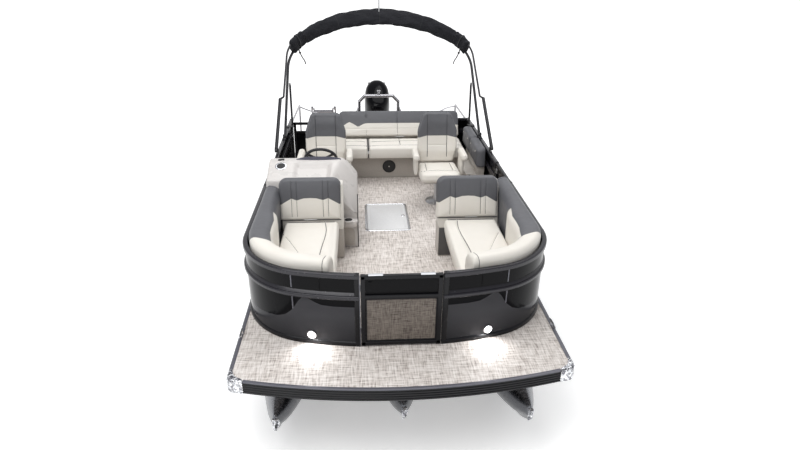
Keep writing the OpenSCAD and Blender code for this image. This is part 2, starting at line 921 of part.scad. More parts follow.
// Engine pod behind the middle tube
module transom_pod() {
    color("dimgray") station()
        side_profile([[tube_end_y, deck_z - 99], [6396, deck_z - 99], [6400, deck_z - 105],
            [6384, 380], [6200, 240], [tube_end_y, 180]], -190, 190);
}

module outboard_clamp() {
    color("black") station() {
        for (s = [-1, 1])
            side_profile([[6400, 420], [6400, tilt_z - 50], [tilt_y - 30, tilt_z + 26],
                [tilt_y + 28, tilt_z + 26], [tilt_y + 28, tilt_z - 30], [6440, 420]],
                s * 115 - 10, s * 115 + 10);
        translate([-110, tilt_y, tilt_z]) rotate([0, 90, 0]) cylinder(r = 14, h = 220, $fn = 48);
    }
}

// Frame of the outboard: origin on its tilt axis, Z along its steering axis
module outboard_frame() {
    translate([0, tilt_y, tilt_z]) rotate([park_tilt, 0, 0]) children();
}

module outboard_swivel() {
    color("black") station() outboard_frame() difference() {
        union() {
            translate([-98, 0, 0]) rotate([0, 90, 0]) cylinder(r = 34, h = 196, $fn = 64);
            translate([0, steer_y, -335]) cylinder(r = 38, h = 353, $fn = 64);
            translate([-55, 0, -70]) cube([110, steer_y, 86]);
        }
        translate([-110, 0, 0]) rotate([0, 90, 0]) cylinder(r = 14.3, h = 220, $fn = 48);
        translate([0, steer_y, -30]) cylinder(r = 16.3, h = 60, $fn = 48);
        translate([0, steer_y, -345]) cylinder(r = 16.3, h = 60, $fn = 48);
    }
}

module outboard_leg() {
    color("black") station() outboard_frame() {
        // Cradle arms on the steering axis
        side_profile([[52, 26], [290, 26], [290, 62], [52, 62]], -45, 45);
        side_profile([[40, -376], [200, -376], [200, -346], [40, -346]], -52, 52);
        translate([0, steer_y, -24]) cylinder(r = 16, h = 60, $fn = 48);
        translate([0, steer_y, -350]) cylinder(r = 16, h = 50, $fn = 48);
        // Midsection, lower cowl and pan
        side_profile([[128, 30], [292, 30], [288, -300], [262, -566], [132, -566], [124, -300]],
            -55, 55);
        side_profile([[60, 62], [560, 62], [645, 150], [-2, 150], [-2, 110]], -130, 130);
        side_profile([[120, 70], [540, 70], [600, 150], [120, 150]], -205, 205);
        // Plate, gearcase and skeg
        translate([-110, 60, -572]) cube([220, 330, 8]);
        side_profile([[125, -570], [285, -570], [300, -780], [112, -780]], -22, 22);
        translate([0, 95, prop_z]) rotate([-90, 0, 0]) cylinder(r = 52, h = 240, $fn = 64);
        translate([0, 95, prop_z]) sphere(r = 52, $fn = 64);
        side_profile([[150, -790], [300, -790], [325, -955], [262, -955]], -6, 6);
        translate([0, 300, prop_z]) rotate([-90, 0, 0]) cylinder(r = 12, h = 142, $fn = 32);
        translate([0, 437, prop_z]) rotate([-90, 0, 0]) cylinder(r = 19, h = 14, $fn = 6);
    }
}

// Plan of the cowl, drawn in by inset
module cowl_plan(inset) {
    polygon([[-130 + inset, -30], [-215 + inset, 130], [-215 + inset, 500], [-120 + inset, 720],
        [120 - inset, 720], [215 - inset, 500], [215 - inset, 130], [130 - inset, -30]]);
}

module outboard_cowl() {
    color("black") station() outboard_frame() difference() {
        intersection() {
            side_profile([[-5, 150], [0, 600], [40, 665], [350, 700], [600, 665], [700, 590],
                [690, 330], [650, 150]], -240, 240);
            translate([0, 0, 100]) linear_extrude(800) cowl_plan(0);
        }
        intersection() {
            side_profile([[9, 140], [14, 595], [48, 652], [350, 686], [594, 651], [686, 582],
                [676, 332], [637, 140]], -240, 240);
            translate([0, 0, 100]) linear_extrude(800) cowl_plan(14);
        }
    }
}

module outboard_powerhead() {
    color("gray") station() outboard_frame() translate([-110, 130, 150]) cube([220, 400, 440]);
}

module propeller() {
    color("black") station() outboard_frame() translate([0, 0, prop_z]) difference() {
        union() {
            translate([0, 342, 0]) rotate([-90, 0, 0]) cylinder(r = 44, h = 88, $fn = 48);
            for (a = [0, 120, 240]) rotate([0, a, 0]) translate([0, 386, 100])
                rotate([0, 0, 28]) rotate([90, 0, 0]) cylinder(r = 66, h = 8, $fn = 48, center = true);
        }
        translate([0, 330, 0]) rotate([-90, 0, 0]) cylinder(r = 12.3, h = 120, $fn = 32);
    }
}

starboard_pontoon();
center_pontoon();
port_pontoon();
cross_members();
deck();
deck_trim();
deck_castings();
hatch_frame();
hatch_lid();
bow_fence_starboard();
bow_fence_port();
side_fence_starboard();
side_fence_port();
stern_fence();
bow_gate();
side_gate();
stern_gate();
docking_lights();
lounge_base_starboard();
lounge_seat_starboard();
lounge_back_starboard();
lounge_pads_starboard();
lounge_base_port();
lounge_seat_port();
lounge_back_port();
lounge_pads_port();
helm_console();
windscreen();
steering_wheel();
chair_pedestals();
helm_chair_frame();
helm_chair_cushions();
companion_chair_frame();
companion_chair_cushions();
bench_base();
bench_seat();
bench_back();
bimini_mounts();
bimini_bows();
bimini_boot();
anchor_light();
bimini_front_legs();
bimini_struts();
tow_bar();
stern_rails();
ladder_brackets();
ladder_upper();
ladder_lower();
transom_pod();
outboard_clamp();
outboard_swivel();
outboard_leg();
outboard_cowl();
outboard_powerhead();
propeller();
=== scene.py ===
"""Pontoon boat: looks. Metres, in the CAD's frame (X to port, Y aft, Z up from the floor)."""
import math

import bmesh
import bpy
import numpy as np
from mathutils import Matrix, Vector


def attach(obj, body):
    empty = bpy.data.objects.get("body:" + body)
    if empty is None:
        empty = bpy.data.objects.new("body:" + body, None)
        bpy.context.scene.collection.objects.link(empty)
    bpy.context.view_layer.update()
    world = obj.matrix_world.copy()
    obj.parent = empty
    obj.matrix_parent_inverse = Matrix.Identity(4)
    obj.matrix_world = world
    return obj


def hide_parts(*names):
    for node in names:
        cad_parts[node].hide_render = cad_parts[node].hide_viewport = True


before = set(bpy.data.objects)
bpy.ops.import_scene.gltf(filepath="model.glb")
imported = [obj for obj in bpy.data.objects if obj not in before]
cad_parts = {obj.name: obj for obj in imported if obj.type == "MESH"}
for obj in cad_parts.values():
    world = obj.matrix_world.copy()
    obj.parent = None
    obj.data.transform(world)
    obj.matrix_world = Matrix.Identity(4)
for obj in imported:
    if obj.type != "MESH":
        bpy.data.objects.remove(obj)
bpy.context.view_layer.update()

BOW_Y = -3.655          # the deck's bow edge in the CAD frame
DECK_Z = 0.785          # the deck's surface above the floor
rng = np.random.default_rng(7)

# Camera solved from the photograph's deck and fence lines; its place is in at()'s axes
CAMERA_YAW, CAMERA_PITCH, CAMERA_ROLL = np.radians((4.171, 25.556, 0.73)).tolist()
CAMERA_SPOT = (-0.289, -3.165, 2.819)
FOCAL_PIXELS, IMAGE_PIXELS, SENSOR_MM = 573.86, 800, 36

FLOOR_HALF = 60         # half the floor's side
FLOOR_LIFT = 0.36       # glow of the floor at the boat, for the rays that show it
FLOOR_LIFT_FAR = 0.45   # what that glow gains further out
WORLD_LIGHT = 0.55
BACKDROP = 1.05         # 1 is white
KEY_POWER = 330
TOP_POWER = 250
GLOW_POWER = 1.3

PAD_FILL = 0.9          # share of its CAD solid that a cushion fills
SIDE_NAME = {1: "port", -1: "starboard"}
X_AXIS, Y_AXIS, Z_AXIS = (1, 0, 0), (0, 1, 0), (0, 0, 1)


def at(x, y, z):
    """Point from the bow edge's middle and the deck's surface, in the CAD frame."""
    return Vector((x, y + BOW_Y, z + DECK_Z))


def floor_at(x, y, z):
    """Point from the bow edge's middle, with its height above the floor."""
    return x, y + BOW_Y, z


def rect(x0, y0, x1, y1):
    return [(x0, y0), (x1, y0), (x1, y1), (x0, y1)]


def turns(count):
    """Angles evenly round a full turn."""
    return np.linspace(0, 2 * math.pi, count, endpoint=False)


# ---------------------------------------------------------------- camera, light and floor

def camera():
    yaw, pitch, roll = CAMERA_YAW, CAMERA_PITCH, CAMERA_ROLL
    spot = at(*CAMERA_SPOT)
    ahead = Vector((math.sin(yaw) * math.cos(pitch), math.cos(yaw) * math.cos(pitch),
                    -math.sin(pitch)))
    right = Vector((math.cos(yaw), -math.sin(yaw), 0))
    up = right.cross(ahead)
    side = math.cos(roll) * right + math.sin(roll) * up
    top = -math.sin(roll) * right + math.cos(roll) * up
    data = bpy.data.cameras.new("camera")
    data.sensor_width = SENSOR_MM
    data.lens = FOCAL_PIXELS * SENSOR_MM / IMAGE_PIXELS
    data.clip_start, data.clip_end = 0.05, 200
    cam = bpy.data.objects.new("camera", data)
    cam.matrix_world = Matrix(((side.x, top.x, -ahead.x, spot.x), (side.y, top.y, -ahead.y, spot.y),
                               (side.z, top.z, -ahead.z, spot.z), (0, 0, 0, 1)))
    bpy.context.collection.objects.link(cam)
    bpy.context.scene.camera = cam


def area_lamp(name, place, target, size, power):
    data = bpy.data.lights.new(name, "AREA")
    data.shape = "RECTANGLE"
    data.size, data.size_y = size
    data.energy = power
    lamp = bpy.data.objects.new(name, data)
    lamp.location = place
    lamp.rotation_euler = (Vector(target) - Vector(place)).to_track_quat("-Z", "Y").to_euler()
    bpy.context.collection.objects.link(lamp)


class Nodes:
    """Short way to build the nodes of a material or of the world."""

    def __init__(self, name, world=False):
        self.mat = (bpy.data.worlds if world else bpy.data.materials).new(name)
        self.mat.use_nodes = True
        self.tree = self.mat.node_tree
        self.tree.nodes.clear()
        self.out = self.add("ShaderNodeOutputWorld" if world else "ShaderNodeOutputMaterial")
        self.coords = self.add("ShaderNodeTexCoord")

    def link(self, node, *values):
        """Values or sockets into the node's first inputs."""
        for key, value in enumerate(values):
            self.set(node, key, value)
        return node

    def show(self, node):
        self.tree.links.new(node.outputs[0], self.out.inputs["Surface"])
        return self.mat

    def add(self, kind, **values):
        node = self.tree.nodes.new(kind)
        for key, value in values.items():
            if hasattr(node, key):
                setattr(node, key, value)
            else:
                self.set(node, key.replace("_", " "), value)
        return node

    def set(self, node, key, value):
        socket = node.inputs[key] if isinstance(key, int) else next(
            s for s in node.inputs if s.name.lower() == key.lower())
        if isinstance(value, bpy.types.NodeSocket):
            self.tree.links.new(value, socket)
        else:
            socket.default_value = value

    def noise(self, scale, detail=3.0, rough=0.55, stretch=None, distort=0.0):
        vector = self.coords.outputs["Object"]
        if stretch:
            mapping = self.add("ShaderNodeMapping")
            self.set(mapping, "Vector", vector)
            mapping.inputs["Scale"].default_value = stretch
            vector = mapping.outputs["Vector"]
        node = self.add("ShaderNodeTexNoise", Scale=scale, Detail=detail, Roughness=rough,
                        Distortion=distort)
        self.set(node, "Vector", vector)
        return node.outputs["Fac"]

    def ramp(self, fac, stops):
        node = self.add("ShaderNodeValToRGB")
        self.set(node, "Fac", fac)
        ramp = node.color_ramp
        while len(ramp.elements) < len(stops):
            ramp.elements.new(0.5)
        for element, (place, colour) in zip(ramp.elements, stops):
            element.position = place
            element.color = (*colour, 1) if len(colour) == 3 else colour
        return node.outputs["Color"]

    def math(self, op, a, b=0.0, c=0.0, clamp=False):
        node = self.add("ShaderNodeMath", operation=op, use_clamp=clamp)
        for i, value in enumerate((a, b, c)):
            if isinstance(value, bpy.types.NodeSocket):
                self.tree.links.new(value, node.inputs[i])
            else:
                node.inputs[i].default_value = value
        return node.outputs[0]

    def mix(self, fac, a, b, blend="MIX"):
        node = self.add("ShaderNodeMix", data_type="RGBA", blend_type=blend)
        for socket, value in ((node.inputs[0], fac), (node.inputs[6], a), (node.inputs[7], b)):
            if isinstance(value, bpy.types.NodeSocket):
                self.tree.links.new(value, socket)
            elif isinstance(value, (int, float)):
                socket.default_value = value
            else:
                socket.default_value = (*value, 1)
        return node.outputs[2]

    def attribute(self, name):
        return self.add("ShaderNodeAttribute", attribute_name=name).outputs["Fac"]

    def bump(self, height, strength, distance=0.002, normal=None):
        node = self.add("ShaderNodeBump")
        node.inputs["Strength"].default_value = strength
        node.inputs["Distance"].default_value = distance
        self.set(node, "Height", height)
        if normal:
            self.set(node, "Normal", normal)
        return node.outputs["Normal"]

    def surface(self, colour, rough, metallic=0.0, normal=None, **more):
        node = self.add("ShaderNodeBsdfPrincipled")
        self.set(node, "Base Color", colour if isinstance(colour, bpy.types.NodeSocket)
                 else (*colour, 1))
        self.set(node, "Roughness", rough)
        self.set(node, "Metallic", metallic)
        if normal:
            self.set(node, "Normal", normal)
        for key, value in more.items():
            self.set(node, key.replace("_", " "), value)
        return self.show(node)

    def seen_ray(self):
        """1 for the rays that show the background: camera, glossy and transmission rays."""
        path = self.add("ShaderNodeLightPath")
        total = path.outputs["Is Camera Ray"]
        for name in ("Is Glossy Ray", "Is Transmission Ray"):
            total = self.math("MAXIMUM", total, path.outputs[name])
        return total


def floor_and_light():
    bpy.context.scene.view_settings.view_transform = "Standard"
    mat = Nodes("studio_floor")
    grey = mat.ramp(mat.noise(3.0), [(0.3, (0.86, 0.86, 0.86)), (0.7, (0.90, 0.90, 0.90))])
    diffuse = mat.link(mat.add("ShaderNodeBsdfDiffuse"), grey)
    # The lift grows away from the boat, so that its shadow stays and the rest is white
    span = mat.link(mat.add("ShaderNodeVectorMath", operation="LENGTH"),
                    mat.coords.outputs["Object"])
    far = mat.math("MULTIPLY_ADD", span.outputs["Value"], 0.30, -0.95, clamp=True)
    lift = mat.math("MULTIPLY_ADD", far, FLOOR_LIFT_FAR, FLOOR_LIFT)
    glow = mat.add("ShaderNodeEmission", Strength=mat.math("MULTIPLY", mat.seen_ray(), lift))
    mat.show(mat.link(mat.add("ShaderNodeAddShader"), diffuse.outputs[0], glow.outputs[0]))
    mesh = bpy.data.meshes.new("studio_floor")
    mesh.from_pydata([(FLOOR_HALF * x, FLOOR_HALF * y, 0) for x, y in rect(-1, -1, 1, 1)], [],
                     [(0, 1, 2, 3)])
    mesh.materials.append(mat.mat)
    floor = bpy.data.objects.new("studio_floor", mesh)
    bpy.context.collection.objects.link(floor)

    # The backdrop is white at the horizon and grey overhead, which the glossy parts mirror
    world = Nodes("studio", world=True)
    bpy.context.scene.world = world.mat
    up = world.link(world.add("ShaderNodeSeparateXYZ"), world.coords.outputs["Generated"])
    sky = world.ramp(up.outputs["Z"], [(0.25, (1, 1, 1)), (0.60, (0.38, 0.38, 0.40))])
    backdrop = world.link(world.add("ShaderNodeBackground"), sky, BACKDROP)
    soft = world.link(world.add("ShaderNodeBackground"), (0.98, 0.99, 1.0, 1), WORLD_LIGHT)
    world.show(world.link(world.add("ShaderNodeMixShader"), world.seen_ray(), soft.outputs[0],
                          backdrop.outputs[0]))

    area_lamp("key_lamp", (-2.5, -4.5, 7.5), (0, -0.5, 0.8), (5.0, 5.0), KEY_POWER)
    area_lamp("top_lamp", (1.0, 1.5, 7.5), (0, 0.5, 0.8), (6.0, 6.0), TOP_POWER)
    # Glow of the docking lights on the deck in front of them
    for side in (-1, 1):
        lamp = at(side * 0.70, 0.535, 0.10)
        area_lamp("docking_glow", lamp, lamp + Vector((side * -0.04, -0.25, -0.16)), (0.05, 0.05),
                  GLOW_POWER)


# ---------------------------------------------------------------- materials

CREAM = (0.77, 0.74, 0.69)
CREAM_DARK = (0.71, 0.675, 0.615)
CHARCOAL = (0.092, 0.093, 0.102)
CHARCOAL_LIGHT = (0.108, 0.110, 0.121)


def vinyl(name, base, base_dark, top=None, top_dark=None):
    """Upholstery; zone is metres above a colour boundary, seam metres from a stitch line."""
    m = Nodes(name)
    cloud = m.noise(5.0, 4.0)
    colour = m.mix(cloud, base_dark, base)
    if top:
        upper = m.mix(cloud, top_dark, top)
        zone = m.attribute("zone")
        edge = m.math("MULTIPLY_ADD", zone, 900.0, 0.5, clamp=True)
        colour = m.mix(edge, colour, upper)
        away = m.math("MULTIPLY", m.math("ABSOLUTE", zone), 260.0)
        line = m.math("SUBTRACT", 1.0, away, clamp=True)
        colour = m.mix(m.math("MULTIPLY", line, 0.75), colour, (0.03, 0.03, 0.035))
    seam = m.attribute("seam")
    stitch = m.math("SUBTRACT", 1.0, m.math("MULTIPLY", seam, 260.0), clamp=True)
    colour = m.mix(m.math("MULTIPLY", stitch, 0.55), colour, (0.06, 0.055, 0.05))
    pores = m.noise(420.0, 2.0)
    folds = m.noise(11.0, 3.0, distort=0.4)
    normal = m.bump(folds, 0.16, 0.02)
    normal = m.bump(pores, 0.12, 0.0008, normal)
    rough = m.math("MULTIPLY_ADD", cloud, 0.14, 0.40)
    return m.surface(colour, rough, 0.0, normal, Specular_IOR_Level=0.45)


def painted(name, colour, rough, coat=0.0, grain=60.0, depth=0.02, metallic=0.0, shine=0.5):
    m = Nodes(name)
    cloud = m.noise(grain)
    darker = tuple(c * 0.8 for c in colour)
    tone = m.mix(cloud, darker, colour)
    roughness = m.math("MULTIPLY_ADD", cloud, 0.08, rough)
    normal = m.bump(cloud, depth, 0.001)
    return m.surface(tone, roughness, metallic, normal, Coat_Weight=coat, Coat_Roughness=0.05,
                     Specular_IOR_Level=shine)


def metal(name, colour, rough, stretch=(1, 1, 1), scale=90.0):
    m = Nodes(name)
    streak = m.noise(scale, 4.0, stretch=stretch)
    tone = m.mix(streak, tuple(c * 0.86 for c in colour), colour)
    roughness = m.math("MULTIPLY_ADD", streak, 0.14, rough)
    normal = m.bump(streak, 0.03, 0.0006)
    return m.surface(tone, roughness, 1.0, normal)


def cast_metal(name):
    """Polished casting, its mirror broken up by its uneven face and by dark and bright patches of
    painted reflection in its colour.
    """
    m = Nodes(name)
    lumps_and_painted_glints = m.noise(38.0, 3.0, 0.6, distort=1.0)
    # Painted reflection: dark and bright patches in the metal's own colour
    tone = m.ramp(lumps_and_painted_glints, [(0.40, (0.16, 0.16, 0.18)), (0.52, (0.55, 0.56, 0.58)),
                          (0.62, (0.90, 0.91, 0.93))])
    normal = m.bump(lumps_and_painted_glints, 0.35, 0.01)
    return m.surface(tone, 0.12, 1.0, normal)


def woven(name, light, mid, dark, pitch=0.011, streaks=1.0, upright=False):
    """Cross-hatched woven vinyl: threads both ways, with long darker and paler runs."""
    m = Nodes(name)
    fine, slow = 1.0 / pitch, 0.10 / pitch
    along = m.noise(1.0, 4.0, 0.62, stretch=(fine, 1.0, slow) if upright else (fine, slow, 1.0))
    across = m.noise(1.0, 4.0, 0.62, stretch=(slow, 1.0, fine) if upright else (slow, fine, 1.0))
    patch = m.noise(2.2, 2.0)
    mean = m.math("MULTIPLY", m.math("ADD", along, across), 0.5)
    warp = m.math("MULTIPLY_ADD", m.math("SUBTRACT", mean, 0.5), 1.75 * streaks, 0.5)
    warp = m.math("ADD", warp, m.math("MULTIPLY", m.math("SUBTRACT", patch, 0.5), 0.18))
    colour = m.ramp(warp, [(0.22, dark), (0.45, mid), (0.72, light)])
    thread = m.noise(1.0, 1.0, stretch=(260.0, 260.0, 260.0))
    normal = m.bump(mean, 0.35, 0.002)
    normal = m.bump(thread, 0.15, 0.001, normal)
    return m.surface(colour, 0.62, 0.0, normal, Specular_IOR_Level=0.3)


def lamp_lens(name, strength):
    m = Nodes(name)
    ring = m.noise(40.0)
    tone = m.ramp(ring, [(0.2, (0.9, 0.95, 1.0)), (0.8, (1.0, 1.0, 1.0))])
    return m.surface(tone, 0.15, 0.0, None, Emission_Color=(0.93, 0.96, 1.0, 1.0),
                     Emission_Strength=strength)


def panel_two_tone(name):
    """Fence skin: gloss black above the attribute zone's zero line, charcoal below it."""
    m = Nodes(name)
    cloud = m.noise(2.5, 2.0)
    black = m.mix(cloud, (0.003, 0.003, 0.004), (0.005, 0.005, 0.006))
    grey = m.mix(cloud, (0.056, 0.056, 0.062), (0.074, 0.074, 0.081))
    height = m.add("ShaderNodeSeparateXYZ")
    m.set(height, "Vector", m.coords.outputs["Object"])
    # Painted reflection: the charcoal is lighter higher up and fades to near black towards the
    # bottom
    painted_reflection_fade = m.math("MULTIPLY_ADD", height.outputs["Z"], 3.2, -2.35, clamp=True)
    grey = m.mix(painted_reflection_fade, (0.020, 0.020, 0.022), grey)
    zone = m.attribute("zone")
    edge = m.math("MULTIPLY_ADD", zone, 700.0, 0.5, clamp=True)
    colour = m.mix(edge, grey, black)
    ripple = m.noise(1.6, 1.0)
    normal = m.bump(ripple, 0.04, 0.02)
    return m.surface(colour, 0.14, 0.0, normal, Specular_IOR_Level=0.07)


def canvas(name, colour):
    m = Nodes(name)
    weave = m.noise(700.0, 1.0)
    cloud = m.noise(6.0, 4.0)
    fold = m.noise(1.0, 5.0, 0.6, stretch=(3.0, 16.0, 16.0), distort=1.2)
    tone = m.mix(cloud, tuple(c * 0.7 for c in colour), tuple(c * 1.25 for c in colour))
    normal = m.bump(fold, 0.55, 0.03)
    normal = m.bump(weave, 0.15, 0.0006, normal)
    return m.surface(tone, 0.80, 0.0, normal, Sheen_Weight=0.03, Specular_IOR_Level=0.15)


def build_materials():
    mats = {"cream": vinyl("vinyl_cream", CREAM, CREAM_DARK),
            "two_tone": vinyl("vinyl_two_tone", CREAM, CREAM_DARK, CHARCOAL, CHARCOAL_LIGHT),
            "charcoal": vinyl("vinyl_charcoal", CHARCOAL, CHARCOAL_LIGHT),
            "piping": painted("piping_dark", (0.05, 0.05, 0.056), 0.45),
            "floor": woven("floor_weave", (0.79, 0.75, 0.72), (0.58, 0.53, 0.495),
                           (0.25, 0.215, 0.195), 0.0115, 1.15),
            "gate_weave": woven("gate_weave", (0.27, 0.235, 0.205), (0.17, 0.145, 0.125),
                                (0.06, 0.05, 0.044), 0.008, 1.2, upright=True),
            "rail": painted("rail_black", (0.009, 0.009, 0.011), 0.22, 0.0, shine=0.22),
            # The top and mid rails get a lighter copy of the rail black: a painted highlight
            "rail_lit": painted("rail_painted_highlight", (0.022, 0.021, 0.027), 0.22, 0.0, metallic=0.15,
                                shine=0.5), "black": painted("black_gloss", (0.004, 0.004, 0.005),
                                                             0.12, 0.0, 8.0, 0.01, shine=0.10),
            "panel": panel_two_tone("fence_panel"), "trim": painted("trim_black",
                                                                    (0.010, 0.010, 0.012), 0.30,
                                                                    0.0, shine=0.25),
            "lip": painted("trim_lip", (0.13, 0.13, 0.155), 0.32, 0.2, metallic=0.3),
            "polished": metal("polished_metal", (0.82, 0.83, 0.85), 0.10),
            "steel": metal("stainless_steel", (0.46, 0.455, 0.475), 0.18),
            "satin": metal("satin_metal", (0.62, 0.63, 0.65), 0.28),
            "tube": metal("pontoon_metal", (0.19, 0.195, 0.21), 0.20, (0.4, 6.0, 6.0), 14.0),
            # The hatch frame is painted pale as a painted reflection of its polished edges
            "cast": cast_metal("polished_casting"), "frame_painted_reflection": painted("hatch_frame_painted_reflection",
                                                                           (0.80, 0.80, 0.82), 0.25,
                                                                           0.2),
            "tube_dark": metal("pontoon_keel", (0.46, 0.465, 0.48), 0.16),
            "bow_tube": painted("bow_tube", (0.014, 0.014, 0.017), 0.26, 0.0, shine=0.3),
            "boot": canvas("boot_canvas", (0.016, 0.0165, 0.020)),
            "shell": painted("shell_taupe", (0.52, 0.485, 0.445), 0.42),
            # Dark grey for the port lounge base's lower front, under the seat's overhang: painted
            # shade
            "shell_painted_shade": painted("shell_painted_shade", (0.09, 0.088, 0.088), 0.5),
            "shell_white": painted("shell_white", (0.70, 0.67, 0.62), 0.30, 0.2, 12.0, 0.01),
            "console": painted("console_gelcoat", (0.64, 0.61, 0.59), 0.24, 0.10, 6.0, 0.006),
            "lid": painted("lid_grey", (0.74, 0.74, 0.745), 0.30, 0.2),
            "screen": painted("screen_tint", (0.085, 0.085, 0.115), 0.10, 0.3, 8.0, 0.0),
            "plastic": painted("black_plastic", (0.014, 0.014, 0.016), 0.42),
            "motor": painted("motor_black", (0.008, 0.008, 0.009), 0.30, 0.0, shine=0.25),
            "cowl": painted("cowl_gloss", (0.003, 0.003, 0.004), 0.10, 0.0, 5.0, 0.004, shine=0.12),
            "iron": painted("engine_iron", (0.10, 0.10, 0.11), 0.5),
            "lens": lamp_lens("lamp_lens", 14.0), "lens_dim": lamp_lens("lamp_globe", 0.25),
            "strap": painted("strap_black", (0.012, 0.012, 0.013), 0.6),
            "cone": painted("speaker_cone", (0.02, 0.02, 0.022), 0.5),}
    return mats


# ---------------------------------------------------------------- mesh helpers

def unit(v):
    v = np.asarray(v, float)
    return v / max(np.linalg.norm(v), 1e-12)


def rounded(points, radius, steps=5):
    """Closed 2-D polygon with every corner rounded; radius is one number or one per corner."""
    points = [np.asarray(p, float) for p in points]
    radii = [radius] * len(points) if isinstance(radius, (int, float)) else radius
    out = []
    for i, p in enumerate(points):
        a, b = points[i - 1], points[(i + 1) % len(points)]
        u, w = unit(a - p), unit(b - p)
        cos = float(np.clip(np.dot(u, w), -0.9999, 0.9999))
        half = math.acos(cos) / 2
        if radii[i] <= 0 or half > math.radians(86):
            out.append(tuple(p))
            continue
        reach = min(radii[i] / math.tan(half), 0.49 * np.linalg.norm(a - p),
                    0.49 * np.linalg.norm(b - p))
        r = reach * math.tan(half)
        centre = p + unit(u + w) * r / math.sin(half)
        start, end = p + u * reach - centre, p + w * reach - centre
        a0 = math.atan2(start[1], start[0])
        turn = math.atan2(start[0] * end[1] - start[1] * end[0], float(np.dot(start, end)))
        for k in range(steps + 1):
            a = a0 + turn * k / steps
            out.append((centre[0] + r * math.cos(a), centre[1] + r * math.sin(a)))
    return out


def resample(points, count, closed=False):
    """Evenly spaced points along a polyline."""
    pts = np.asarray(points, float)
    if closed:
        pts = np.vstack([pts, pts[:1]])
    step = np.linalg.norm(np.diff(pts, axis=0), axis=1)
    s = np.concatenate([[0], np.cumsum(step)])
    t = np.linspace(0, s[-1], count + 1)[:-1] if closed else np.linspace(0, s[-1], count)
    return np.stack([np.interp(t, s, pts[:, k]) for k in range(pts.shape[1])], axis=1)


def smooth_curve(points, per=8):
    """Catmull-Rom curve through 3-D or 2-D points."""
    p = np.asarray(points, float)
    p = np.vstack([2 * p[0] - p[1], p, 2 * p[-1] - p[-2]])
    out = []
    for i in range(1, len(p) - 2):
        for k in range(per):
            t = k / per
            out.append(0.5 * ((2 * p[i]) + (-p[i - 1] + p[i + 1]) * t
                              + (2 * p[i - 1] - 5 * p[i] + 4 * p[i + 1] - p[i + 2]) * t * t
                              + (-p[i - 1] + 3 * p[i] - 3 * p[i + 1] + p[i + 2]) * t ** 3))
    out.append(p[-2])
    return np.array(out)


